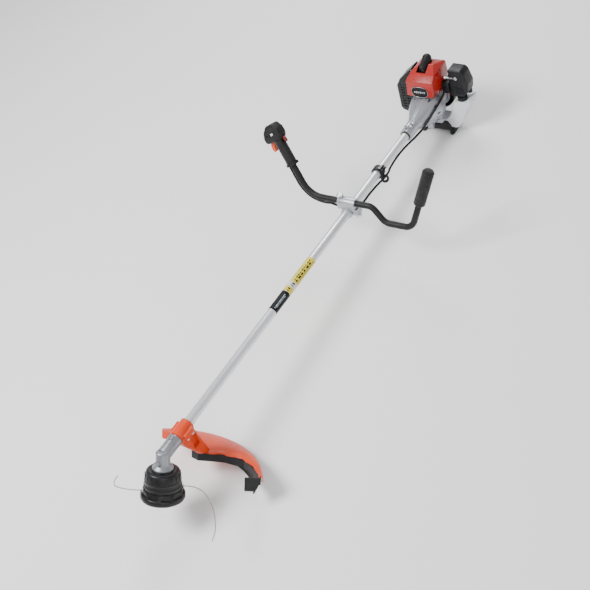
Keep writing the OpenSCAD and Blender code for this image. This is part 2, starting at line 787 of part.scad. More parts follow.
module clutch_shoes() {
    color("darkgray") at_rest() for (side = [0, 180]) rotate([side, 0, 0]) {
        difference() {
            intersection() {
                ring_x(drum_x + 4, drum_len - 6, drum_r - 3.6, 10);
                block([drum_x, -40, 3], [drum_x + 40, 40, 40]);
            }
            translate([0, 0, 19]) rod_x(drum_x, 40, 3);
        }
        translate([0, 0, 19]) rod_x(drum_x + 4, flywheel_x - drum_x - 4, 3);
    }
}

module flywheel_fan() {
    color("silver") at_rest() difference() {
        union() {
            rod_x(flywheel_x, 16, 25);
            rod_x(flywheel_x + 9, 4, fan_case_r - 8);
            for (k = [0 : 15]) rotate([k * 22.5, 0, 0])
                block([flywheel_x + 1, -1.2, 24], [flywheel_x + 9.5, 1.2, fan_case_r - 8]);
        }
        rod_x(flywheel_x - cut, 20, 6);
    }
}

// ---- crankcase, crank and cylinder --------------------------------------------------------
crank_bearing_x = [1566, 1620];
crank_bearing_len = 10;
crank_bearing_r = 16;
journal_r = 7.5;
web_r = 24;
web_t = 8;
rod_t = 10;
case_r_out = 40;

module crankcase() {
    color("silver") at_rest() difference() {
        union() {
            rod_x(case_front_x, 4, fan_case_r);
            rod_x(case_front_x, case_rear_x - case_front_x - 2, case_r_out);
            block([cyl_x - 27, -27, 0], [cyl_x + 27, 27, cyl_base_z]);
            rod_x(case_rear_x - 4, 4, 45);
            for (a = [135, 225]) rotate([a, 0, 0]) translate([0, 0, fan_case_r - 2])
                rod_x(case_front_x, 4, 6);
        }
        rod_x(crank_bearing_x[0] + crank_bearing_len, 44, 30);
        rod_x(crank_bearing_x[0], 80, crank_bearing_r);
        rod_x(case_front_x - cut, 10, 9);
        translate([cyl_x, 0, 0]) cylinder(h = 60, r = bore_d / 2 + 1);
    }
}

module crankshaft() {
    web_gap = rod_t / 2 + 0.5;
    color("gray") at_rest() {
        rod_x(drum_x + drum_len + 2, crank_bearing_x[0] - drum_x - drum_len - 2, 6);
        rod_x(crank_bearing_x[0], cyl_x - web_gap - web_t - crank_bearing_x[0],
              journal_r - running_fit);
        rod_x(cyl_x - web_gap - web_t, web_t, web_r);
        rod_x(cyl_x + web_gap, web_t, web_r);
        rod_x(cyl_x + web_gap + web_t, 1639 - cyl_x - web_gap - web_t, journal_r - running_fit);
    }
}

module connecting_rod() {
    top = crank_r + rod_length;
    color("darkgray") at_rest() translate([cyl_x, 0, 0]) {
        difference() {
            union() {
                translate([0, 0, crank_r]) rod_x(-rod_t / 2, rod_t, 11);
                block([-3, -5, crank_r + 8], [3, 5, top - 5]);
                translate([0, 0, top]) rod_x(-rod_t / 2, rod_t, 8);
            }
            translate([0, 0, crank_r]) rod_x(-10, 20, 6);
            translate([0, 0, top]) rod_x(-10, 20, 4.5);
        }
        // crankpin and piston pin
        translate([0, 0, crank_r]) rod_x(-rod_t / 2, rod_t, 6 - running_fit);
        translate([0, 0, top]) rod_x(-17, 34, 4.5 - running_fit);
    }
}

module piston() {
    pin_z = crank_r + rod_length;
    color("lightgray") at_rest() translate([cyl_x, 0, 0]) difference() {
        translate([0, 0, pin_z - 14]) cylinder(h = 32, r = bore_d / 2 - running_fit);
        translate([0, 0, pin_z - 15]) cylinder(h = 28, r = bore_d / 2 - 4);
        translate([0, 0, pin_z]) rod_x(-17, 34, 4.5);
    }
}

fin_pitch = 7;
fin_top = cyl_base_z + 68;

module cylinder_block_outline(z) {
    block([cyl_x - 30, -38, z], [cyl_x + 28, 38, z + 2.4]);
}

module cylinder_block() {
    color("silver") at_rest() difference() {
        union() {
            block([cyl_x - 27, -27, cyl_base_z], [cyl_x + 27, 27, cyl_base_z + 5]);
            translate([cyl_x, 0, cyl_base_z]) cylinder(h = 66, r = bore_d / 2 + 5);
            for (z = [cyl_base_z + 12 : fin_pitch : fin_top - 3]) cylinder_block_outline(z);
            block([cyl_x - 16, 21, cyl_base_z + 14], [cyl_x + 16, 42, cyl_base_z + 40]);
            block([cyl_x - 16, -42, cyl_base_z + 8], [cyl_x + 16, -21, cyl_base_z + 34]);
        }
        translate([cyl_x, 0, cyl_base_z - cut]) cylinder(h = 50, r = bore_d / 2);
        translate([cyl_x, 0, cyl_base_z + 40]) cylinder(h = 40, r = 6);
        translate([cyl_x, 10, cyl_base_z + 27]) rotate([-90, 0, 0]) cylinder(h = 40, r = 9);
        translate([cyl_x, -10, cyl_base_z + 21]) rotate([90, 0, 0]) cylinder(h = 40, r = 8);
    }
}

plug_foot = cyl_base_z + 66;

module spark_plug() {
    color("ivory") at_rest() translate([cyl_x, 0, 0]) {
        translate([0, 0, plug_foot - 14]) cylinder(h = 14, r = 6);
        translate([0, 0, plug_foot]) cylinder(h = 9, r = 10, $fn = 6);
        translate([0, 0, plug_foot + 9]) cylinder(h = 22, r = 5);
    }
}

boot_base = plug_foot + 12;
boot_elbow = plug_foot + 50;
boot_drop = 115;     // angle of the boot's arm from straight up, towards the head
boot_r = 15;
boot_tip_r = 12;
boot_swell = 0.8;    // the elbow is this much fuller than the arms

// The boot: a sleeve on the plug and an arm that lies down the cover's front slope
module boot_shape(grow) {
    translate([cyl_x, 0, boot_base]) cylinder(h = boot_elbow - boot_base, r = boot_r + grow);
    translate([cyl_x, 0, boot_elbow]) sphere(r = boot_r + boot_swell + grow);
    translate([cyl_x, 0, boot_elbow]) rotate([0, -boot_drop, 0])
        cylinder(h = 46, r1 = boot_r + grow, r2 = boot_tip_r + grow);
}

module plug_boot() {
    color("#121212") at_rest() difference() {
        boot_shape(0);
        translate([cyl_x, 0, boot_base - cut]) cylinder(h = 20, r = 5);
    }
}

// ---- covers, muffler, carburettor ---------------------------------------------------------
cover_front = 1518;
cover_rear = 1630;
cover_face = [[-44, 46], [48, 46], [50, 70], [46, 122], [34, 142], [8, 154], [-34, 154],
              [-50, 134], [-52, 100]];
cover_inside = [[-41, 40], [45, 40], [47, 70], [43, 121], [32, 139], [7, 151], [-33, 151],
                [-47, 133], [-49, 101]];

// Side view of the top cover, [x, z]: an overhanging front, then two slopes
module cover_side(inset) {
    rotate([90, 0, 0]) translate([0, 0, -80]) linear_extrude(160)
        polygon([[cover_front + inset, 30], [cover_front + inset, 118 - inset / 2],
                 [1540 + inset, 136 - inset / 2], [1574 + inset, 154 - inset],
                 [cover_rear - inset, 138 - inset], [cover_rear - inset, 30]]);
}

module top_cover() {
    color("#d8301c") at_rest() difference() {
        intersection() {
            plate_yz(cover_front, cover_rear - cover_front, cover_face);
            cover_side(0);
        }
        intersection() {
            plate_yz(cover_front, cover_rear - cover_front, cover_inside);
            cover_side(3);
        }
        boot_shape(2);
        block([cover_front - cut, -70, 30], [case_front_x + 5, 70, fan_case_r + 1.5]);
        block([cyl_x - 29, 30, 40], [cyl_x + 29, 60, 104]);
        block([cyl_x - 29, -60, 40], [cyl_x + 29, -30, 96]);
    }
}

module muffler() {
    color("dimgray") at_rest() difference() {
        union() {
            block([cyl_x - 26, 50, cyl_base_z - 14], [cyl_x + 26, 86, cyl_base_z + 50]);
            block([cyl_x - 15, 42, cyl_base_z + 15], [cyl_x + 15, 50, cyl_base_z + 39]);
            translate([cyl_x + 18, 86, cyl_base_z + 8]) rotate([-90, 0, 0]) cylinder(h = 8, r = 7);
        }
        block([cyl_x - 24, 52, cyl_base_z - 12], [cyl_x + 24, 84, cyl_base_z + 48]);
        translate([cyl_x, 40, cyl_base_z + 27]) rotate([-90, 0, 0]) cylinder(h = 20, r = 9);
        translate([cyl_x + 18, 80, cyl_base_z + 8]) rotate([-90, 0, 0]) cylinder(h = 20, r = 5);
    }
}

shield_front = 1567;
shield_rear = 1630;
shield_face = [[54, -30], [60, -44], [88, -46], [110, -38], [116, -28], [117, 60], [102, 86],
               [56, 126]];
shield_inside = [[50, -28], [58, -41], [87, -43], [108, -36], [113, -27], [114, 59],
                 [100, 84], [50, 127]];

module muffler_cover() {
    color("#1a1a1b") at_rest() difference() {
        plate_yz(shield_front, shield_rear - shield_front, shield_face);
        plate_yz(shield_front + 3, shield_rear - shield_front - 6, shield_inside);
        for (z = [-20 : 12 : 50]) block([shield_front + 10, 110, z], [shield_rear - 10, 122, z + 5]);
        for (z = [-20 : 12 : 64]) block([shield_front - 1, 72, z], [shield_front + 4, 104, z + 5]);
        for (x = [shield_front + 10 : 12 : shield_rear - 14])
            translate([x, 79, 106]) rotate([-41, 0, 0]) block([0, -12, -6], [6, 12, 6]);
    }
}

module carburettor() {
    color("#2a2a2c") at_rest() difference() {
        union() {
            block([cyl_x - 14, -50, cyl_base_z + 10], [cyl_x + 14, -42, cyl_base_z + 32]);
            block([cyl_x - 18, -74, cyl_base_z + 4], [cyl_x + 18, -50, cyl_base_z + 38]);
            block([cyl_x - 12, -74, cyl_base_z - 6], [cyl_x + 12, -50, cyl_base_z + 4]);
        }
        translate([cyl_x, -80, cyl_base_z + 21]) rotate([-90, 0, 0]) cylinder(h = 50, r = 7);
        translate([cyl_x, -62, cyl_base_z - 7]) cylinder(h = 5, r = 9.5);
    }
}

filter_front = 1582;
filter_rear = 1630;
filter_face = [[-76, 34], [-84, 30], [-124, 30], [-140, 50], [-144, 80], [-132, 120], [-122, 130],
               [-76, 132]];
filter_inside = [[-70, 37], [-85, 33], [-123, 33], [-137, 51], [-141, 80], [-129, 119],
                 [-121, 127], [-70, 129]];

module air_filter_cover() {
    color("#18181a") at_rest() difference() {
        plate_yz(filter_front, filter_rear - filter_front, filter_face);
        plate_yz(filter_front + 3, filter_rear - filter_front - 6, filter_inside);
        for (z = [46 : 8 : 70]) block([filter_front - 1, -126, z], [filter_front + 4, -94, z + 3]);
    }
}

choke_at = [filter_front - 1.4, -104, 104];

module choke_lever() {
    color("#d8d8d8") at_rest() translate(choke_at) {
        rod_x(-3, 4, 6);
        block([-2.5, 0, -2.5], [0.5, 40, 2.5]);
        block([-5, 34, -3.5], [0.5, 42, 3.5]);
    }
}

module primer_bulb() {
    color("#c8503c") at_rest() translate([cyl_x, -62, cyl_base_z - 6.4]) rotate([180, 0, 0]) {
        cylinder(h = 3, r = 9);
        translate([0, 0, 3]) cylinder(h = 5, r1 = 8, r2 = 5);
    }
}

// ---- starter ------------------------------------------------------------------------------
starter_front = case_rear_x;
starter_rear = 1672;
starter_r = 60;
pulley_x = 1645;
pulley_len = 11;
groove_r = 28;
rope_r = 2;
rope_z = groove_r + rope_r + side_gap;

module starter_cover() {
    color("#1d1d1f") at_rest() difference() {
        union() {
            rod_x(starter_front, starter_rear - starter_front - 6, starter_r);
            translate([starter_rear - 6, 0, 0]) rotate([0, 90, 0])
                cylinder(h = 6, r1 = starter_r, r2 = starter_r - 8);
            block([pulley_x - 4, -84, rope_z - 10], [pulley_x + 16, -40, rope_z + 10]);
        }
        difference() {
            rod_x(starter_front - cut, starter_rear - starter_front - 6 + cut, starter_r - 3);
            rod_x(1641, 40, 6 - running_fit);
        }
        translate([pulley_x + 6, -90, rope_z]) rotate([-90, 0, 0]) cylinder(h = 60, r = 3.2);
        for (a = [0 : 30 : 330]) rotate([a, 0, 0])
            block([starter_rear - 4, -3, 26], [starter_rear + 1, 3, 46]);
    }
}

module starter_pulley() {
    color("gray") at_rest() difference() {
        union() {
            rod_x(pulley_x, 3, 36);
            rod_x(pulley_x + 3, pulley_len - 6, groove_r);
            rod_x(pulley_x + pulley_len - 3, 3, 36);
        }
        rod_x(pulley_x - cut, 20, 6 + running_fit);
        for (a = [0, 120, 240]) rotate([a, 0, 0]) translate([0, 0, 17]) rod_x(pulley_x - cut, 20, 5);
    }
}

module pull_handle() {
    rope_x = pulley_x + pulley_len / 2;
    color("#151515") at_rest() translate([rope_x, 0, rope_z]) {
        translate([0, -86, 0]) rotate([90, 0, 0]) cylinder(h = 8, r1 = 6, r2 = 9);
        translate([0, -94, 0]) rotate([90, 0, 0]) cylinder(h = 10, r = 9);
        translate([0, -112, -24]) cylinder(h = 48, r = 9);
    }
    color("white") at_rest() translate([rope_x, -85.9, rope_z]) rotate([-90, 0, 0])
        cylinder(h = 132, r = rope_r, $fn = 24);
}

// ---- fuel tank and stand ------------------------------------------------------------------
tank_front = 1574;
tank_rear = 1630;
tank_floor = -tank_drop;
tank_face = [[40, -66], [40, tank_floor + 8], [32, tank_floor], [-84, tank_floor],
             [-96, tank_floor + 8], [-148, 14], [-148, 26], [-140, 28], [-132, 14], [-92, 14],
             [-78, -4], [-72, -32], [-60, -54], [-44, -66]];
tank_inside = [[37, -69], [37, tank_floor + 10], [30, tank_floor + 3], [-82, tank_floor + 3],
               [-93, tank_floor + 10], [-145, 15], [-145, 23], [-141, 24], [-134, 11],
               [-93, 11], [-81, -5], [-75, -33], [-62, -57], [-45, -69]];
cap_at = [1596, -111, 14];

module fuel_tank() {
    color("#e8e8ea") at_rest() difference() {
        plate_yz(tank_front, tank_rear - tank_front, tank_face);
        plate_yz(tank_front + 3, tank_rear - tank_front - 6, tank_inside);
    }
}

module fuel_cap() {
    color("#171717") at_rest() translate(cap_at) translate([0, 0, side_gap]) difference() {
        cylinder(h = 13, r = 17);
        for (k = [0 : 11]) rotate([0, 0, k * 30]) translate([18.5, 0, 2]) cylinder(h = 20, r = 3);
    }
}

module engine_stand() {
    floor_z = tank_floor - 0.6;
    deep = tank_floor - 50;
    color("#141415") difference() {
        at_rest() union() {
            plate_yz(1566.5, 7, [[49, deep], [49, tank_floor - 2], [34, -82], [-28, -82], [-42, -68],
                                 [-54, -68], [-66, -88], [-72, deep]]);
            block([1573, 37, deep], [1630, 49, floor_z]);
            block([1573, -72, deep], [1630, -60, floor_z]);
            block([1573, -61, floor_z - 7], [1630, 38, floor_z]);
        }
        // flat soles on the ground, with a gap between the two feet
        translate([0, 0, -200]) linear_extrude(200) square(4000, center = true);
        at_rest() block([1550, -60, deep - 40], [1640, 37, floor_z - 7]);
    }
}

module frame_screws() {
    color("silver") {
        for (side = [-1, 1], x = guard_bolt_x) at_rest()
            translate([x, side * guard_bolt_y, -9]) rotate([180, 0, 0]) cap_screw(2.5, 13);
        for (x = [1405, 1423]) at_rest() translate([x, -8, 24]) rotate([90, 0, 0]) cap_screw(3, 14);
        for (x = [-5, 5]) at_rest() translate([harness_x, 0, 0]) rotate([ear_turn, 0, 0])
            translate([x, -25.5, 7]) cap_screw(2.5, 13);
        in_head() for (x = cutter_hole_x) rotate([0, 0, panel_right + 0.4])
            translate([cutter_r + x, 3.5, skirt_foot_z + 16]) rotate([-90, 0, 0]) cap_screw(2, 1.5);
    }
}

gear_case();
bevel_pinion();
bevel_gear();
output_shaft();
head_shell();
head_cover();
line_spool();
spool_spring();
bump_button();
line_eyelets();
cutting_line_left();
cutting_line_right();
guard_panel();
guard_clamp();
guard_skirt();
line_cutter();
main_tube();
drive_shaft();
shaft_bushings();
harness_clamp();
bar_clamp_base();
bar_clamp_cap();
clamp_knob_left();
clamp_knob_right();
handlebar();
foam_grip();
throttle_case_front();
throttle_case_rear();
throttle_trigger();
throttle_lockout();
stop_switch();
grip_screws();
cable_upper();
cable_lower();
clutch_housing();
clutch_drum();
clutch_shoes();
flywheel_fan();
crankcase();
crankshaft();
ball_bearings();
connecting_rod();
piston();
cylinder_block();  // cylinder
spark_plug();
plug_boot();
top_cover();
muffler();
muffler_cover();
carburettor();
choke_lever();
primer_bulb();
air_filter_cover();
starter_cover();
starter_pulley();
pull_handle();
fuel_tank();
fuel_cap();
engine_stand();
frame_screws();
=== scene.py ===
"""Looks of the string trimmer: materials, detailed pieces, labels, camera and lights."""
import json
import math

import bmesh
import bpy
from mathutils import Matrix, Vector

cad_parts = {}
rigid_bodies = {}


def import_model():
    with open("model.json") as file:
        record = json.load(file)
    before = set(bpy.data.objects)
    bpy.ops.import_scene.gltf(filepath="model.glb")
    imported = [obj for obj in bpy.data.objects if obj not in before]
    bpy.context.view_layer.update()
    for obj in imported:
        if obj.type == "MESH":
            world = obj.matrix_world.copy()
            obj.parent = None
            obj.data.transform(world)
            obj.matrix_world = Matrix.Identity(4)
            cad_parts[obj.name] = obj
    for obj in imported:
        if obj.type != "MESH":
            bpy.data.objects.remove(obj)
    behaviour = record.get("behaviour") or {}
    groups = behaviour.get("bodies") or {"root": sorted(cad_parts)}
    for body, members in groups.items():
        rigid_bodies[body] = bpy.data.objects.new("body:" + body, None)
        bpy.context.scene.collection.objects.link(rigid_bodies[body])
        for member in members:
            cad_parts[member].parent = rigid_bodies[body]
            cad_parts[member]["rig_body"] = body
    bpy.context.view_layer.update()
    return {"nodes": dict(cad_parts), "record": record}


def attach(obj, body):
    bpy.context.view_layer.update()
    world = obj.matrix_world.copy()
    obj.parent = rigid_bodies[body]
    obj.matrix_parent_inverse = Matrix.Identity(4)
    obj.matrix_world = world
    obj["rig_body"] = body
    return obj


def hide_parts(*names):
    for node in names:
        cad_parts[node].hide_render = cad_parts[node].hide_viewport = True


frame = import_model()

NODES = frame["nodes"]
MM = 0.001

# ---- frames of the CAD's groups: their points are in mm, and at() turns them into metres --------
LEAN, MID, LIFT = 3.4, (779.0, -7.7), 212.83   # how the tool lies on the ground
HEAD_TILT, BAR_LEAN, BAR_X = 30, 15, 1000


def turn(axis, degrees):
    return Matrix.Rotation(math.radians(degrees), 4, axis)


def shift(x, y, z):
    return Matrix.Translation((x * MM, y * MM, z * MM))


TOOL = shift(-MID[0], -MID[1], LIFT) @ turn("Y", LEAN)
HEAD = TOOL @ turn("Y", HEAD_TILT)
HANDLE = TOOL @ shift(BAR_X, 0, 30) @ turn("Y", BAR_LEAN)


def at(matrix, p):
    """The world place of a point given in mm in one of the frames."""
    return matrix @ Vector((p[0] * MM, p[1] * MM, p[2] * MM))


# ---- camera ------------------------------------------------------------------------------------
LENS, SENSOR = 61.02, 36
CAM_PLACE = (-903.51, -1538.28, 1933.94)
CAM_AXES = ((0.509956, 0.679647, -0.527280),
            (-0.825333, 0.213835, -0.522590),
            (-0.242426, 0.701679, 0.669982))
cam_data = bpy.data.cameras.new("camera")
cam_data.lens = LENS
cam_data.sensor_width = SENSOR
cam_data.clip_end = 50
cam = bpy.data.objects.new("camera", cam_data)
bpy.context.scene.collection.objects.link(cam)
cam.matrix_world = TOOL @ shift(*CAM_PLACE) @ Matrix(CAM_AXES).to_4x4()
bpy.context.scene.camera = cam



# ---- materials ---------------------------------------------------------------------------------
def new_material(name):
    mat = bpy.data.materials.new(name)
    mat.use_nodes = True
    nt = mat.node_tree
    return mat, nt, nt.nodes["Principled BSDF"]


def noise(nt, coord, scale, detail=3.0, stretch=None):
    tex = nt.nodes.new("ShaderNodeTexNoise")
    tex.inputs["Scale"].default_value = scale
    tex.inputs["Detail"].default_value = detail
    if stretch:
        mapping = nt.nodes.new("ShaderNodeMapping")
        mapping.inputs["Scale"].default_value = stretch
        nt.links.new(coord, mapping.inputs["Vector"])
        nt.links.new(mapping.outputs["Vector"], tex.inputs["Vector"])
    else:
        nt.links.new(coord, tex.inputs["Vector"])
    return tex.outputs["Fac"]


def ramp(nt, fac, stops):
    node = nt.nodes.new("ShaderNodeValToRGB")
    elements = node.color_ramp.elements
    while len(elements) < len(stops):
        elements.new(0.5)
    for element, (place, colour) in zip(elements, stops):
        element.position = place
        element.color = (*colour, 1)
    nt.links.new(fac, node.inputs["Fac"])
    return node.outputs["Color"]


def span(nt, fac, low, high):
    """Spreads a noise's usual range over low to high."""
    node = nt.nodes.new("ShaderNodeMapRange")
    node.inputs["From Min"].default_value = 0.3
    node.inputs["From Max"].default_value = 0.7
    node.inputs["To Min"].default_value = low
    node.inputs["To Max"].default_value = high
    nt.links.new(fac, node.inputs["Value"])
    return node.outputs["Result"]


def mix(nt, fac, a, b):
    node = nt.nodes.new("ShaderNodeMix")
    node.data_type = "RGBA"
    nt.links.new(fac, node.inputs["Factor"])
    nt.links.new(a, node.inputs["A"])
    node.inputs["B"].default_value = (*b, 1)
    return node.outputs["Result"]


CLOUD_SCALE, SCUFF_SCALE, GLOSS_SCALE = 26.0, 60.0, 70.0   # noise sizes, in cells per metre
RELIEF_DEPTH = 0.0006


def finish_of(name, base, rough, metal, grain, bump, mottle, cells=False, stretch=None,
              scuff=None, coat=0.0, soft=0.0, sheen=0.0, spec=0.5):
    """A surface with clouded colour, uneven gloss, fine relief and, if asked, light scuffs."""
    mat, nt, shader = new_material(name)
    coord = nt.nodes.new("ShaderNodeTexCoord").outputs["Object"]
    dark = tuple(c * (1 - mottle) for c in base)
    light = tuple(min(1.0, c * (1 + mottle) + 0.004) for c in base)
    colour = ramp(nt, noise(nt, coord, CLOUD_SCALE, 4.0, stretch), [(0.3, dark), (0.7, light)])
    if scuff:
        lines = noise(nt, coord, SCUFF_SCALE, 2.0, (1.0, 9.0, 5.0))
        mask = ramp(nt, lines, [(0.66, (0, 0, 0)), (0.74, (1, 1, 1))])
        colour = mix(nt, mask, colour, scuff)
    nt.links.new(colour, shader.inputs["Base Color"])
    gloss = span(nt, noise(nt, coord, GLOSS_SCALE, 3.0, stretch),
                 rough * 0.82, min(1.0, rough * 1.2))
    nt.links.new(gloss, shader.inputs["Roughness"])
    if cells:
        tex = nt.nodes.new("ShaderNodeTexVoronoi")
        tex.inputs["Scale"].default_value = grain
        nt.links.new(coord, tex.inputs["Vector"])
        relief = tex.outputs["Distance"]
    else:
        relief = noise(nt, coord, grain, 3.0, stretch)
    bumps = nt.nodes.new("ShaderNodeBump")
    bumps.inputs["Strength"].default_value = bump
    bumps.inputs["Distance"].default_value = RELIEF_DEPTH
    nt.links.new(relief, bumps.inputs["Height"])
    nt.links.new(bumps.outputs["Normal"], shader.inputs["Normal"])
    shader.inputs["Metallic"].default_value = metal
    shader.inputs["Coat Weight"].default_value = coat
    shader.inputs["Coat Roughness"].default_value = 0.15
    shader.inputs["Subsurface Weight"].default_value = soft
    shader.inputs["Subsurface Scale"].default_value = 0.01
    shader.inputs["Sheen Weight"].default_value = sheen
    shader.inputs["Specular IOR Level"].default_value = spec
    return mat


def values(*places, **names):
    """What finish_of takes after the name."""
    return places, names


ALONG = (0.12, 3.0, 3.0)   # stretches a noise along the tube
BLACK = (0.007, 0.007, 0.008)
SOFT_BLACK = (0.009, 0.009, 0.01)
# slot: colour, roughness, metal, grain in cells per metre, relief, mottle
FINISHES = {
    "cast_alloy": values((0.44, 0.455, 0.49), 0.42, 0.75, 700, 0.25, 0.08,
                         scuff=(0.68, 0.69, 0.72)),
    "tube_alloy": values((0.74, 0.75, 0.78), 0.3, 0.55, 240, 0.05, 0.05, stretch=ALONG),
    "steel": values((0.58, 0.58, 0.6), 0.28, 1.0, 500, 0.08, 0.08, stretch=ALONG),
    "knob_metal": values((0.6, 0.61, 0.64), 0.34, 0.85, 600, 0.15, 0.1),
    "head_plastic": values(BLACK, 0.36, 0.0, 800, 0.22, 0.25, scuff=(0.018, 0.018, 0.02),
                           spec=0.3),
    "spool_plastic": values((0.05, 0.05, 0.055), 0.5, 0.0, 500, 0.1, 0.1),
    "nylon_line": values((0.2, 0.2, 0.18), 0.3, 0.0, 900, 0.1, 0.08, soft=0.2),
    "guard_orange": values((0.66, 0.05, 0.006), 0.36, 0.0, 900, 0.12, 0.07, spec=0.35,
                           scuff=(0.74, 0.09, 0.03)),
    "skirt_black": values(SOFT_BLACK, 0.48, 0.0, 600, 0.2, 0.2, scuff=(0.03, 0.03, 0.03),
                          spec=0.3),
    "bushing_rubber": values((0.05, 0.04, 0.035), 0.8, 0.0, 500, 0.2, 0.1, spec=0.3),
    "harness_plastic": values(BLACK, 0.4, 0.0, 800, 0.2, 0.2, spec=0.3),
    "bar_paint": values((0.006, 0.006, 0.007), 0.5, 0.0, 500, 0.1, 0.2,
                        scuff=(0.022, 0.022, 0.024), spec=0.3),
    "grip_foam": values(SOFT_BLACK, 0.85, 0.0, 1100, 0.8, 0.2, cells=True, sheen=0.15, spec=0.3),
    "grip_plastic": values(BLACK, 0.45, 0.0, 1300, 0.35, 0.2, cells=True, spec=0.3),
    "trigger_orange": values((0.68, 0.06, 0.012), 0.36, 0.0, 700, 0.1, 0.06),
    "lockout_red": values((0.16, 0.012, 0.01), 0.38, 0.0, 700, 0.1, 0.08),
    "switch_grey": values((0.6, 0.6, 0.62), 0.35, 0.0, 700, 0.06, 0.05),
    "cable_rubber": values(BLACK, 0.5, 0.0, 700, 0.2, 0.15, spec=0.3),
    "shoe_iron": values((0.2, 0.2, 0.2), 0.6, 0.9, 500, 0.4, 0.15),
    "fan_alloy": values((0.6, 0.61, 0.63), 0.45, 0.85, 500, 0.2, 0.08),
    "engine_alloy": values((0.55, 0.56, 0.58), 0.5, 0.85, 600, 0.35, 0.1),
    "plug_ceramic": values((0.86, 0.84, 0.78), 0.2, 0.0, 300, 0.04, 0.04),
    "boot_rubber": values(SOFT_BLACK, 0.42, 0.0, 700, 0.2, 0.2, scuff=(0.03, 0.03, 0.03),
                          spec=0.3),
    "cover_red": values((0.38, 0.008, 0.004), 0.3, 0.0, 900, 0.1, 0.07, coat=0.1,
                        scuff=(0.48, 0.02, 0.01)),
    "muffler_steel": values((0.22, 0.2, 0.18), 0.5, 1.0, 400, 0.25, 0.25),
    "cover_black": values((0.007, 0.0075, 0.009), 0.38, 0.0, 1200, 0.25, 0.22, cells=True,
                          scuff=(0.02, 0.02, 0.022), spec=0.3),
    "bulb_rubber": values((0.6, 0.12, 0.08), 0.4, 0.0, 300, 0.05, 0.06, soft=0.2),
    "pulley_plastic": values((0.45, 0.45, 0.43), 0.5, 0.0, 500, 0.1, 0.06),
    "handle_plastic": values(BLACK, 0.42, 0.0, 900, 0.2, 0.2, spec=0.3),
    "tank_white": values((0.7, 0.71, 0.76), 0.42, 0.0, 500, 0.1, 0.05, soft=0.35),
    "cap_plastic": values(BLACK, 0.4, 0.0, 900, 0.2, 0.2, spec=0.3),
    "stand_plastic": values(SOFT_BLACK, 0.45, 0.0, 900, 0.25, 0.2, cells=True, spec=0.3),
}
MATERIALS = {name: finish_of(name, *places, **names)
             for name, (places, names) in FINISHES.items()}
for entry in frame["record"]["subparts"]:
    node = NODES[entry["node"]]
    node.data.materials.clear()
    node.data.materials.append(MATERIALS[entry["material_slot"]])
SLOT = {e["node"]: e["material_slot"] for e in frame["record"]["subparts"]}
BODY = {n: o["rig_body"] for n, o in NODES.items()}


# ---- mesh helpers ------------------------------------------------------------------------------
SMOOTH_UP_TO, COVER_SMOOTH = 38, 30   # degrees: sharper corners stay sharp


def smooth_by_angle(bm, degrees):
    for face in bm.faces:
        face.smooth = True
    for edge in bm.edges:
        edge.smooth = not (edge.is_manifold and edge.calc_face_angle(0) > math.radians(degrees))


def piece(name, bm, slot, body, stands_for=(), material=None, degrees=SMOOTH_UP_TO):
    smooth_by_angle(bm, degrees)
    mesh = bpy.data.meshes.new(name)
    bm.to_mesh(mesh)
    bm.free()
    obj = bpy.data.objects.new(name, mesh)
    bpy.context.scene.collection.objects.link(obj)
    mesh.materials.append(material or MATERIALS[slot])
    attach(obj, body)
    if stands_for:
        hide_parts(*stands_for)
    return obj


def work_object(bm):
    """A passing object that takes over the bmesh."""
    mesh = bpy.data.meshes.new("work")
    bm.to_mesh(mesh)
    bm.free()
    obj = bpy.data.objects.new("work", mesh)
    bpy.context.scene.collection.objects.link(obj)
    return obj


def discard(obj):
    mesh = obj.data
    bpy.data.objects.remove(obj)
    bpy.data.meshes.remove(mesh)


def apply_modifiers(bm, *settings):
    """Runs modifiers on a bmesh, each given as (type, {property: value})."""
    obj = work_object(bm)
    for kind, properties in settings:
        mod = obj.modifiers.new(kind, kind)
        for key, value in properties.items():
            setattr(mod, key, value)
    depsgraph = bpy.context.evaluated_depsgraph_get()
    out = bpy.data.meshes.new_from_object(obj.evaluated_get(depsgraph))
    discard(obj)
    result = bmesh.new()
    result.from_mesh(out)
    bpy.data.meshes.remove(out)
    return result


def built(builder):
    """The mesh that builder(bm) makes."""
    bm = bmesh.new()
    builder(bm)
    return bm


def bevel(width, segments, degrees):
    return "BEVEL", {"width": width * MM, "segments": segments, "limit_method": "ANGLE",
                     "angle_limit": math.radians(degrees)}


def rounded(bm, width, segments=2, degrees=30):
    return apply_modifiers(bm, bevel(width, segments, degrees))


def cad_copy(node):
    """The CAD solid with its triangles joined into flat faces."""
    bm = bmesh.new()
    bm.from_mesh(NODES[node].data)
    bmesh.ops.remove_doubles(bm, verts=bm.verts, dist=1e-5)
    bmesh.ops.dissolve_limit(bm, angle_limit=math.radians(1), verts=bm.verts, edges=bm.edges)
    return bm


def soft_piece(node, bm, material=None):
    """The rounded copy of a CAD solid, in its place."""
    piece(node + "_soft", bm, SLOT[node], BODY[node], [node], material)


def ring_faces(bm, a, b):
    """The band between two closed rings."""
    for k in range(len(a)):
        j = (k + 1) % len(a)
        bm.faces.new((a[k], a[j], b[j], b[k]))


def tube_mesh(bm, route, radius, sides):
    """A closed round tube along points given in metres."""
    rings = []
    normal = None
    for i, p in enumerate(route):
        ahead = (route[min(i + 1, len(route) - 1)] - route[max(i - 1, 0)]).normalized()
        if normal is None:
            normal = ahead.orthogonal().normalized()
        normal = (normal - ahead * normal.dot(ahead)).normalized()
        side = ahead.cross(normal)
        rings.append([bm.verts.new(p + radius * (math.cos(2 * math.pi * k / sides) * normal
                                                 + math.sin(2 * math.pi * k / sides) * side))
                      for k in range(sides)])
    for a, b in zip(rings, rings[1:]):
        ring_faces(bm, a, b)
    bm.faces.new(rings[0][::-1])
    bm.faces.new(rings[-1])


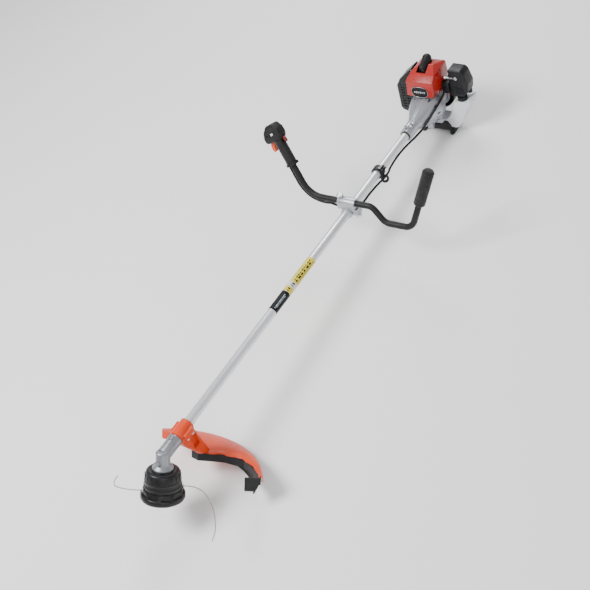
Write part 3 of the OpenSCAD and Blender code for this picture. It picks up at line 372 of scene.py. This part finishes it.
def lathe(profile, matrix, segments=96, start=0.0, sweep=360.0, close=False):
    """Turns (radius, height) points about Z of the given frame."""
    bm = bmesh.new()
    full = sweep >= 360
    count = segments if full else segments + 1
    rings = []
    for k in range(count):
        a = math.radians(start + sweep * k / segments)
        rings.append([bm.verts.new(at(matrix, (r * math.cos(a), r * math.sin(a), z)))
                      for r, z in profile])
    for k in range(count if full else count - 1):
        a, b = rings[k], rings[(k + 1) % count]
        for i in range(len(profile) - (0 if close else 1)):
            j = (i + 1) % len(profile)
            bm.faces.new((a[i], b[i], b[j], a[j]))
    bmesh.ops.remove_doubles(bm, verts=bm.verts, dist=1e-6)
    bmesh.ops.recalc_face_normals(bm, faces=bm.faces)
    return bm


def box_mesh(bm, matrix, low, high):
    """A box between two corners given in mm."""
    corners = [bm.verts.new(at(matrix, (x, y, z))) for x in (low[0], high[0])
               for y in (low[1], high[1]) for z in (low[2], high[2])]
    for f in ((0, 1, 3, 2), (4, 6, 7, 5), (0, 4, 5, 1), (2, 3, 7, 6), (0, 2, 6, 4), (1, 5, 7, 3)):
        bm.faces.new([corners[i] for i in f])


def boxes(*corner_pairs):
    def build(bm):
        for low, high in corner_pairs:
            box_mesh(bm, TOOL, low, high)
    return build


def bore(matrix, points, radius, sides):
    """A builder of a tube along points given in mm."""
    return lambda bm: tube_mesh(bm, [at(matrix, p) for p in points], radius * MM, sides)


def cut(bm, *builders):
    """Takes away what each builder makes, one after the other."""
    for builder in builders:
        tool = built(builder)
        bmesh.ops.recalc_face_normals(tool, faces=tool.faces)
        obj = work_object(tool)
        bm = apply_modifiers(bm, ("BOOLEAN", {"operation": "DIFFERENCE", "object": obj,
                                              "solver": "MANIFOLD"}))
        discard(obj)
    return bm


def prism(outline, ends, place):
    """An outline of (u, v) swept straight between two ends: place(u, v, end) is its corner."""
    bm = bmesh.new()
    near, far = [[bm.verts.new(at(TOOL, place(u, v, end))) for u, v in outline] for end in ends]
    ring_faces(bm, near, far)
    bm.faces.new(near[::-1])
    bm.faces.new(far)
    bmesh.ops.recalc_face_normals(bm, faces=bm.faces)
    return bm


ALONG_X = TOOL @ Matrix(((0, 0, 1, 0), (1, 0, 0, 0), (0, 1, 0, 0), (0, 0, 0, 1)))   # Z along X


# ---- cutting line: two free cords --------------------------------------------------------------
def smooth_route(points, per_span):
    """A smooth curve through the points."""
    out = []
    last = len(points) - 1
    for i in range(last):
        a, b, c, d = (Vector(points[max(i - 1, 0)]), Vector(points[i]), Vector(points[i + 1]),
                      Vector(points[min(i + 2, last)]))
        for k in range(per_span):
            t = k / per_span
            out.append(0.5 * (2 * b + (c - a) * t + (2 * a - 5 * b + 4 * c - d) * t * t
                              + (3 * b - a - 3 * c + d) * t * t * t))
    out.append(Vector(points[last]))
    return out


LINE_LEFT = [(-41.4, 34.7, -94), (-49, 46, -94.5), (-56, 64, -96), (-62, 88, -98), (-61, 110, -100),
             (-50, 126, -101), (-34, 137, -101), (-16, 144, -100)]
LINE_RIGHT = [(41.4, -34.7, -94), (51, -44, -95), (61, -60, -98), (62, -84, -102), (50, -112, -107),
              (30, -142, -114), (5, -170, -122), (-26, -196, -131), (-58, -212, -140)]
LINE_D = 2.4
CORD_SIDES = 16
for side, route in (("left", LINE_LEFT), ("right", LINE_RIGHT)):
    path = [at(HEAD, p) for p in smooth_route(route, 10)]
    bm = bmesh.new()
    tube_mesh(bm, path, LINE_D / 2 * MM, CORD_SIDES)
    line = piece("line_" + side, bm, "nylon_line", "cutting_head", ["cutting_line_" + side])

# ---- throttle cable ----------------------------------------------------------------------------
CABLE_R = 3.8
CABLE_LOWER = [(1579, -62, 62), (1571, -62, 55), (1556, -58, 42), (1530, -55, 32), (1508, -50, 22),
               (1488, -44, 10), (1472, -38, 0), (1461, -32, -10), (1448, -27, -17),
               (1430, -23, -20), (1404, -20, -20), (1380, -16, -20), (1340, -12, -18),
               (1290, -12, -16), (1235, -17, -15), (1206, -27, -9), (1174, -27, -9),
               (1145, -17, -15), (1100, -12, -17), (1065, -8, -22), (1044, 8, -26), (1028, 24, -21),
               (1012, 37, -6), (999, 48, 10), (996, 55, 15), (996, 60, 15)]
CABLE_UPPER = [(0, 61, -13.6), (0, 76, -16), (0, 100, -15), (0, 122, -10), (0, 142, -1),
               (0, 160, 13), (0, 176, 32), (0, 194, 64), (0, 201, 78), (0, 205, 85.6)]
for name, route, matrix, node in (("cable_run", CABLE_LOWER, TOOL, "cable_lower"),
                                  ("cable_rise", CABLE_UPPER, HANDLE, "cable_upper")):
    bm = built(bore(matrix, smooth_route(route, 12), CABLE_R, CORD_SIDES))
    piece(name, bm, "cable_rubber", BODY[node], [node])

# ---- softened CAD shapes -----------------------------------------------------------------------
GEAR_GREY = finish_of("gear_grey", (0.3, 0.31, 0.335), 0.4, 0.7, 700, 0.3, 0.1,
                      scuff=(0.45, 0.46, 0.49))
BLACK_STEEL = finish_of("black_steel", (0.03, 0.03, 0.032), 0.4, 0.6, 500, 0.1, 0.1)
OWN_FINISH = {"gear_case": GEAR_GREY, "grip_screws": BLACK_STEEL}
for node, width in (("gear_case", 1.2), ("grip_screws", 0.2), ("guard_clamp", 1.0),
                    ("bar_clamp_base", 2.5), ("bar_clamp_cap", 3.0), ("clamp_knob_left", 0.8),
                    ("clamp_knob_right", 0.8), ("harness_clamp", 0.8), ("foam_grip", 1.5),
                    ("throttle_trigger", 1.0), ("throttle_lockout", 1.0), ("stop_switch", 0.5),
                    ("clutch_housing", 0.8), ("starter_cover", 1.0), ("engine_stand", 1.5),
                    ("fuel_cap", 1.0), ("choke_lever", 0.7), ("line_cutter", 0.3),
                    ("guard_skirt", 0.6), ("pull_handle", 1.0), ("plug_boot", 1.0),
                    ("carburettor", 0.6)):
    soft_piece(node, rounded(cad_copy(node), width), OWN_FINISH.get(node))


# ---- throttle case: its two shells with a rounded outline and a flat joint between them --------
CASE = ("throttle_case_front", "throttle_case_rear")
CASE_ROUND, CASE_SEGMENTS = 4.5, 4
SHORTEST_EDGE, SMALLEST_FACE = 8, 60   # mm and mm2: the outline's edges, not those of the holes
OUTLINE_CORNERS = (20, 100)            # degrees between the faces


def middle(node):
    corners = [Vector(v.co) for v in NODES[node].data.vertices]
    return Vector([(min(c[i] for c in corners) + max(c[i] for c in corners)) / 2
                   for i in range(3)])


def in_outline(edge, seam):
    """True for a long corner between broad faces that isn't on the joint with the other shell."""
    least, most = (math.radians(a) for a in OUTLINE_CORNERS)
    return (len(edge.link_faces) == 2 and edge.calc_length() > SHORTEST_EDGE * MM
            and least < edge.calc_face_angle(0) < most and edge.is_convex
            and min(f.calc_area() for f in edge.link_faces) > SMALLEST_FACE * MM * MM
            and max(f.normal.dot(seam) for f in edge.link_faces) < 0.95)


for node, other in (CASE, CASE[::-1]):
    bm = cad_copy(node)
    bm.normal_update()
    across = (middle(other) - middle(node)).normalized()
    seam = max((f.normal for f in bm.faces if f.normal.dot(across) > 0.5),
               key=lambda n: sum(f.calc_area() for f in bm.faces
                                 if f.normal.dot(n) > 0.999)).copy()
    bmesh.ops.bevel(bm, geom=[e for e in bm.edges if in_outline(e, seam)],
                    offset=CASE_ROUND * MM, offset_type="OFFSET", segments=CASE_SEGMENTS,
                    profile=0.5, affect="EDGES", clamp_overlap=False)
    bmesh.ops.remove_doubles(bm, verts=bm.verts, dist=1e-5)
    bmesh.ops.dissolve_degenerate(bm, edges=bm.edges, dist=1e-5)
    soft_piece(node, bm)


# ---- engine covers: hulls of the CAD solids with generous radii, hollow and open inside --------
def hull_of(node):
    """The convex hull of a CAD solid."""
    bm = bmesh.new()
    bm.from_mesh(NODES[node].data)
    hull = bmesh.ops.convex_hull(bm, input=bm.verts)
    drop = [v for v in hull["geom_interior"] if isinstance(v, bmesh.types.BMVert)]
    bmesh.ops.delete(bm, geom=drop, context="VERTS")
    loose = [f for f in bm.faces if f not in set(hull["geom"])]
    bmesh.ops.delete(bm, geom=loose, context="FACES_ONLY")
    bmesh.ops.delete(bm, geom=[e for e in bm.edges if not e.link_faces], context="EDGES")
    bmesh.ops.dissolve_limit(bm, angle_limit=math.radians(2), verts=bm.verts, edges=bm.edges)
    bmesh.ops.recalc_face_normals(bm, faces=bm.faces)
    return bm


def open_side(bm, direction):
    """Takes away the faces that look in a direction of the tool's frame."""
    want = (TOOL.to_3x3() @ Vector(direction)).normalized()
    bmesh.ops.delete(bm, geom=[f for f in bm.faces if f.normal.dot(want) > 0.9], context="FACES")
    return bm


COVER_WALL, COVER_CORNERS = 2.4, 20   # mm, and degrees above which a corner is rounded


def cover(node, radius, segments, open_towards):
    """The cover's hull, rounded, open on one side and as thick as a moulding."""
    bm = open_side(rounded(hull_of(node), radius, segments, COVER_CORNERS), open_towards)
    return apply_modifiers(bm, ("SOLIDIFY", {"thickness": COVER_WALL * MM, "offset": -1.0}))


BOOT_GAP_R, BORE_SIDES = 17.5, 40
top = cut(cover("top_cover", 7.0, 4, (0, 0, -1)),
          boxes(((1500, -80, 30), (1567, 80, 61.5))),
          bore(TOOL, ((1598, 0, 120), (1598, 0, 160), (1596, 0, 175)), BOOT_GAP_R, BORE_SIDES),
          bore(TOOL, ((1600, 0, 160.8), (1545, 0, 135.2)), BOOT_GAP_R, BORE_SIDES))
piece("cover_shell", top, "cover_red", "tool", ["top_cover"], degrees=COVER_SMOOTH)

SLOT_HIGH, SLOT_PITCH = 4, 11
front_slots = [((1560, y, z), (1575, y + 12, z + SLOT_HIGH)) for y in (72, 90)
               for z in range(-24, 70, SLOT_PITCH)]
side_slots = [((1580 + 16 * k, 108, z), (1590 + 16 * k, 125, z + SLOT_HIGH)) for k in range(3)
              for z in range(-24, 56, SLOT_PITCH)]


def slanted_slots(bm):
    for k in range(4):
        frame_here = TOOL @ shift(1576 + 13 * k, 80, 107) @ turn("X", -41)
        box_mesh(bm, frame_here, (0, -14, -8), (5, 14, 8))


side = cut(cover("muffler_cover", 6.0, 3, (0, -1, 0)), boxes(*front_slots, *side_slots),
           slanted_slots)
piece("muffler_shell", side, "cover_black", "tool", ["muffler_cover"], degrees=COVER_SMOOTH)

filter_lines = [((1574, -128, z), (1583.2, -98, z + 3)) for z in (44, 51, 58, 65)]
filter_box = cut(cover("air_filter_cover", 8.0, 4, (0, 1, 0)), boxes(*filter_lines))
piece("filter_shell", filter_box, "cover_black", "tool", ["air_filter_cover"],
      degrees=COVER_SMOOTH)

TANK_ENDS = (1574, 1630)
TANK = [(40, -66), (40, -86), (32, -94), (-84, -94), (-96, -86), (-148, 14), (-148, 26), (-140, 28),
        (-132, 14), (-92, 14), (-78, -4), (-72, -32), (-60, -54), (-44, -66)]
tank = prism(TANK, TANK_ENDS, lambda y, z, x: (x, y, z))
piece("tank_body", rounded(tank, 5.0, 4, 15), "tank_white", "tool", ["fuel_tank"],
      degrees=COVER_SMOOTH)

# ---- boot rings and the ribs cast on the fan housing -------------------------------------------
BOOT_R, BOOT_TAPER = 15, 3 / 46
ARM = TOOL @ shift(1598, 0, 160) @ turn("Y", -115)
for k, z in enumerate((20, 27, 34)):
    r = BOOT_R - BOOT_TAPER * z
    bm = lathe([(r - 0.6, z - 2.2), (r + 1.1, z - 1.2), (r + 1.1, z + 1.2), (r - 0.6, z + 2.2)],
               ARM, 40, close=True)
    piece("boot_ring_%d" % k, bm, "boot_rubber", "tool")

CONE = [(1450, 25), (1464, 29), (1500, 46), (1530, 57), (1544, 60), (1560, 60)]
RIBS, RIB_HALF, RIB_FOOT, RIB_RISE = 12, 1.1, 1.0, 1.2


def housing_rib(bm, frame_here):
    """One rib along the cone: its foot is sunk in the casting, and its top is narrower."""
    low = [bm.verts.new(at(frame_here, (x, y, r - RIB_FOOT)))
           for y in (-RIB_HALF, RIB_HALF) for x, r in CONE]
    high = [bm.verts.new(at(frame_here, (x, y * 0.6, r + RIB_RISE)))
            for y in (-RIB_HALF, RIB_HALF) for x, r in CONE]
    n = len(CONE)
    for i in range(n - 1):
        bm.faces.new((low[i], low[i + 1], high[i + 1], high[i]))
        bm.faces.new((low[n + i + 1], low[n + i], high[n + i], high[n + i + 1]))
        bm.faces.new((high[i], high[i + 1], high[n + i + 1], high[n + i]))
        bm.faces.new((low[i + 1], low[i], low[n + i], low[n + i + 1]))
    bm.faces.new((low[0], high[0], high[n], low[n]))
    bm.faces.new((high[n - 1], low[n - 1], low[2 * n - 1], high[2 * n - 1]))


bm = bmesh.new()
for k in range(RIBS):
    housing_rib(bm, TOOL @ turn("X", 15 + 360 // RIBS * k))
bmesh.ops.recalc_face_normals(bm, faces=bm.faces)
piece("housing_ribs", bm, "cast_alloy", "tool")

# ---- guard panel: a domed sweep about the head's axis ------------------------------------------
GUARD_R, PANEL_Z = 258.0, -48.0
GUARD_FROM, GUARD_SWEEP = -57, 99   # degrees about the head
GUARD_WALL, DOME_RISE = 2.6, 6.0
# (angle, radius) of the panel's inner edge
INNER = [(-57.0, 251.0), (-55.0, 249.0), (-46.0, 240.0), (-33.0, 223.0), (-20.0, 190.0),
         (-9.0, 160.0), (0.0, 142.0), (10.0, 148.0), (20.0, 168.0), (28.0, 184.0), (34.0, 186.0),
         (41.0, 196.0), (42.0, 200.0)]


def inner_radius(angle):
    """Eased between the listed angles, so that the panel's inner edge has no corners."""
    for (a0, r0), (a1, r1) in zip(INNER, INNER[1:]):
        if a0 <= angle <= a1:
            t = (angle - a0) / (a1 - a0)
            t = t * t * (3 - 2 * t)
            return r0 + (r1 - r0) * t
    return INNER[-1][1]


def guard_surface(bm):
    across, along = 14, 120
    grid = []
    for i in range(along + 1):
        angle = GUARD_FROM + GUARD_SWEEP * i / along
        c, s = math.cos(math.radians(angle)), math.sin(math.radians(angle))
        r0 = inner_radius(angle)
        profile = []
        for j in range(across + 1):
            t = j / across
            profile.append((r0 + (GUARD_R - 1.0 - r0) * t,
                            PANEL_Z - 1.5 + DOME_RISE * (4 * t * (1 - t)) ** 0.8))
        profile += [(GUARD_R, -51.5), (GUARD_R, -62.0)]   # the rim turned down over the skirt
        grid.append([bm.verts.new(at(HEAD, (r * c, r * s, z))) for r, z in profile])
    for a, b in zip(grid, grid[1:]):
        for j in range(len(a) - 1):
            bm.faces.new((a[j], a[j + 1], b[j + 1], b[j]))
    bmesh.ops.recalc_face_normals(bm, faces=bm.faces)


bm = apply_modifiers(built(guard_surface),
                     ("SOLIDIFY", {"thickness": GUARD_WALL * MM, "offset": 0.0}),
                     bevel(0.8, 2, 50))
piece("guard_dome", bm, "guard_orange", "tool", ["guard_panel"])

# ---- guard's neck, and its saddle and ears on the tube -----------------------------------------
TUBE_BORE_R = 14.05
NECK = [(60, 0), (112, 0), (112, -16), (127, -127), (97, -109), (60, -30)]
neck = cut(rounded(prism(NECK, (-18, 18), lambda x, z, y: (x, y, z)), 3.0, 3),
           bore(TOOL, ((50, 0, 0), (140, 0, 0)), TUBE_BORE_R, 64),
           boxes(((86, -23, -70), (108, -9, -24)), ((86, 9, -70), (108, 23, -24))))
piece("guard_neck", neck, "guard_orange", "tool", degrees=COVER_SMOOTH)
SADDLE = [(TUBE_BORE_R, 60), (20, 60.5), (20.6, 62), (20.6, 110), (20, 111.5), (TUBE_BORE_R, 112)]
piece("guard_saddle", lathe(SADDLE, ALONG_X, 48, 180, 180, close=True), "guard_orange", "tool")
ears = boxes(*[((68, s * 21 - 6, -9), (104, s * 21 + 6, -0.2)) for s in (-1, 1)])
piece("guard_ears", rounded(built(ears), 1.2), "guard_orange", "tool")

# ---- trimmer head ------------------------------------------------------------------------------
BELL = [(5.2, -44), (5.2, -39), (29, -39), (30, -38.4), (38, -38.2), (41, -39), (43.2, -41),
        (44.6, -44), (46, -50), (47, -62), (47.2, -64), (48.6, -65), (48.8, -67), (48.2, -68.6),
        (47.8, -70), (48.8, -76.5), (49, -78), (50.4, -79), (50.6, -81), (50.1, -82.6),
        (49.8, -84), (50.2, -90), (51, -102), (48, -102), (47, -86), (44, -60), (40, -48),
        (20, -46), (12, -58), (5.2, -58)]
FLARE = [(50.8, -89), (51.8, -89.5), (53.4, -95), (56.4, -103), (59.0, -107), (59.0, -115.5),
         (57.4, -119.4), (56.5, -120), (21, -120), (21, -117), (49.5, -116), (49.5, -104.4),
         (51.4, -104.2), (51.4, -103)]
LINE_TURN, LINE_Z = -40, -94   # where the line leaves the head
HEAD_SEGMENTS, POCKETS, HEAD_RIBS = 120, 10, 20
POCKET_PITCH = 360 // POCKETS


def head_cuts(steps, low, high, hole_end, hole_r):
    """Pockets round the head, and the two holes for the line."""
    def build(bm):
        for k in steps:
            middle_turn = LINE_TURN + POCKET_PITCH * k + POCKET_PITCH // 2
            box_mesh(bm, HEAD @ turn("Z", middle_turn), low, high)
        for side_turn in (LINE_TURN, LINE_TURN + 180):
            bore(HEAD @ turn("Z", side_turn), ((40, 0, LINE_Z), (hole_end, 0, LINE_Z)), hole_r,
                 32)(bm)
    return build


bm = cut(lathe(BELL, HEAD, HEAD_SEGMENTS, close=True),
         head_cuts([k for k in range(POCKETS) if k not in (3, 8)], (49.0, -9, -98),
                   (60, 9, -87), 60, 4.05))
piece("head_bell", bm, "head_plastic", "cutting_head", ["head_shell"])
bm = cut(lathe(FLARE, HEAD, HEAD_SEGMENTS, close=True),
         head_cuts(range(POCKETS), (52.2, -13.5, -103.5), (70, 13.5, -92), 70, 7.0))
piece("head_flare", rounded(bm, 0.5, 2, 40), "head_plastic", "cutting_head", ["head_cover"])
bm = bmesh.new()
for k in range(HEAD_RIBS):
    box_mesh(bm, HEAD @ turn("Z", 360 // HEAD_RIBS * k), (43.5, -0.8, -62), (47.6, 0.8, -47))
piece("head_ribs", rounded(bm, 0.4), "head_plastic", "cutting_head")

# ---- labels and badge: plain coloured, without words -------------------------------------------
YELLOW = finish_of("label_yellow", (0.68, 0.56, 0.04), 0.34, 0.0, 400, 0.03, 0.1)
PALE = finish_of("label_pale", (0.66, 0.66, 0.64), 0.34, 0.0, 400, 0.03, 0.1)
DARK = finish_of("label_dark", (0.004, 0.004, 0.005), 0.35, 0.0, 500, 0.03, 0.2, spec=0.2)
LABEL_EDGE_R, LABEL_R = 14.02, 14.25
BAR_R = (14.1, 14.33)
for name, start, end, mat in (("label_black", 538, 615, DARK), ("label_low", 615, 635, YELLOW),
                              ("label_mid", 635, 655, PALE), ("label_high", 655, 762, YELLOW)):
    bm = lathe([(LABEL_EDGE_R, start + 0.4), (LABEL_R, start + 0.5), (LABEL_R, end - 0.5),
                (LABEL_EDGE_R, end - 0.4)], ALONG_X, 80)
    piece(name, bm, "tube_alloy", "tool", material=mat)


def label_marks(name, rows, mat):
    """Rows of (first x, last x, count, middle angle, arc) as blank bars round the tube."""
    low, high = BAR_R
    bm = bmesh.new()
    for first, last, count, mid_angle, arc in rows:
        pitch = (last - first) / count
        for k in range(count):
            x, wide = first + pitch * k, pitch * (0.45 + 0.3 * ((k * 5) % 3) / 2)
            profile = [(low, x), (high, x), (high, x + wide), (low, x + wide)]
            bar = work_object(lathe(profile, ALONG_X, 6, mid_angle - arc / 2, arc, close=True))
            bm.from_mesh(bar.data)
            discard(bar)
    piece(name, bm, "tube_alloy", "tool", material=mat)


label_marks("label_bars_dark", [(662, 756, 9, 112, 16), (660, 750, 6, 140, 22),
                                (668, 756, 11, 164, 9), (640, 654, 2, 128, 40),
                                (618, 632, 2, 120, 30)], DARK)
label_marks("label_bars_pale", [(546, 606, 10, 126, 13), (550, 600, 12, 142, 5)],
            MATERIALS["tank_white"])
SEAL = [(TUBE_BORE_R, 1379), (15.6, 1379.6), (16.2, 1381.5), (15.6, 1383.4),
        (TUBE_BORE_R, 1384)]
piece("collar_seal", lathe(SEAL, ALONG_X, 64, close=True), "bushing_rubber", "tool")


SQUARENESS = 0.75   # 1 gives an ellipse, and less gives fuller corners


def oval_ring(x, wide, high, count):
    """Points of a squarish oval, `wide` and `high` from its middle, that faces along X."""
    ring = []
    for k in range(count):
        a = 2 * math.pi * k / count
        c, s = math.cos(a), math.sin(a)
        ring.append(at(BADGE, (x, wide * math.copysign(abs(c) ** SQUARENESS, c),
                               high * math.copysign(abs(s) ** SQUARENESS, s))))
    return ring


def badge_plate(bm):
    rings = [[bm.verts.new(p) for p in oval_ring(x, BADGE_WIDE + grow, BADGE_HIGH + grow, 64)]
             for x, grow in ((1.0, 0.0), (BADGE_FACE + 1.0, 0.0), (BADGE_FACE, -1.2))]
    for a, b in zip(rings, rings[1:]):
        ring_faces(bm, a, b)
    bm.faces.new(rings[0][::-1])
    bm.faces.new(rings[-1])
    bmesh.ops.recalc_face_normals(bm, faces=bm.faces)


BADGE = TOOL @ shift(1518, 0, 80)
BADGE_WIDE, BADGE_HIGH, BADGE_FACE = 30, 20, -1.6   # from its middle, and its front's x
RIM_INSET, RIM_R = 0.7, 0.5
piece("badge_plate", built(badge_plate), "cover_black", "tool", material=DARK)
bm = bmesh.new()
for k, tall in enumerate((4.0, 2.6, 4.0, 2.6, 4.0, 2.6)):
    box_mesh(bm, BADGE, (-2.3, -20 + 7 * k, -tall), (-1.4, -15.5 + 7 * k, tall))
piece("badge_bar", rounded(bm, 0.3), "steel", "tool")
rim = oval_ring(BADGE_FACE, BADGE_WIDE - RIM_INSET, BADGE_HIGH - RIM_INSET, 72)
bm = bmesh.new()
tube_mesh(bm, rim + rim[:1], RIM_R * MM, 8)
piece("badge_rim", bm, "steel", "tool")

# ---- floor, sky and lights ---------------------------------------------------------------------
FLOOR, FLOOR_DROP = 14.0, 0.0005
SKY_STRENGTH = 0.55
floor_mesh = bpy.data.meshes.new("floor")
floor_mesh.from_pydata([(-FLOOR, -FLOOR, 0), (FLOOR, -FLOOR, 0), (FLOOR, FLOOR, 0),
                        (-FLOOR, FLOOR, 0)], [], [(0, 1, 2, 3)])
floor = bpy.data.objects.new("floor", floor_mesh)
bpy.context.scene.collection.objects.link(floor)
floor.location.z = -FLOOR_DROP
floor_mat, floor_nt, floor_shader = new_material("floor_pale")
floor_coord = floor_nt.nodes.new("ShaderNodeTexCoord").outputs["Object"]
floor_colour = ramp(floor_nt, noise(floor_nt, floor_coord, 0.6),
                    [(0.3, (0.93, 0.93, 0.93)), (0.7, (0.96, 0.96, 0.96))])
floor_nt.links.new(floor_colour, floor_shader.inputs["Base Color"])
floor_shader.inputs["Roughness"].default_value = 0.9
floor_mesh.materials.append(floor_mat)

world = bpy.data.worlds.new("studio")
world.use_nodes = True
sky = world.node_tree.nodes["Background"]
sky.inputs["Color"].default_value = (1, 1, 1, 1)
sky.inputs["Strength"].default_value = SKY_STRENGTH
bpy.context.scene.world = world

LIGHT_AIM = Vector((0, 0, 0.15))
for name, place, power, size in (("key", (-1.6, 1.2, 3.2), 150, 1.4),
                                 ("fill", (-2.4, -2.4, 2.2), 45, 2.4),
                                 ("rim", (2.4, 1.0, 2.4), 60, 1.4)):
    lamp = bpy.data.lights.new(name, "AREA")
    lamp.energy = power
    lamp.size = size
    light = bpy.data.objects.new(name, lamp)
    bpy.context.scene.collection.objects.link(light)
    light.location = place
    light.rotation_euler = (LIGHT_AIM - Vector(place)).to_track_quat("-Z", "Y").to_euler()
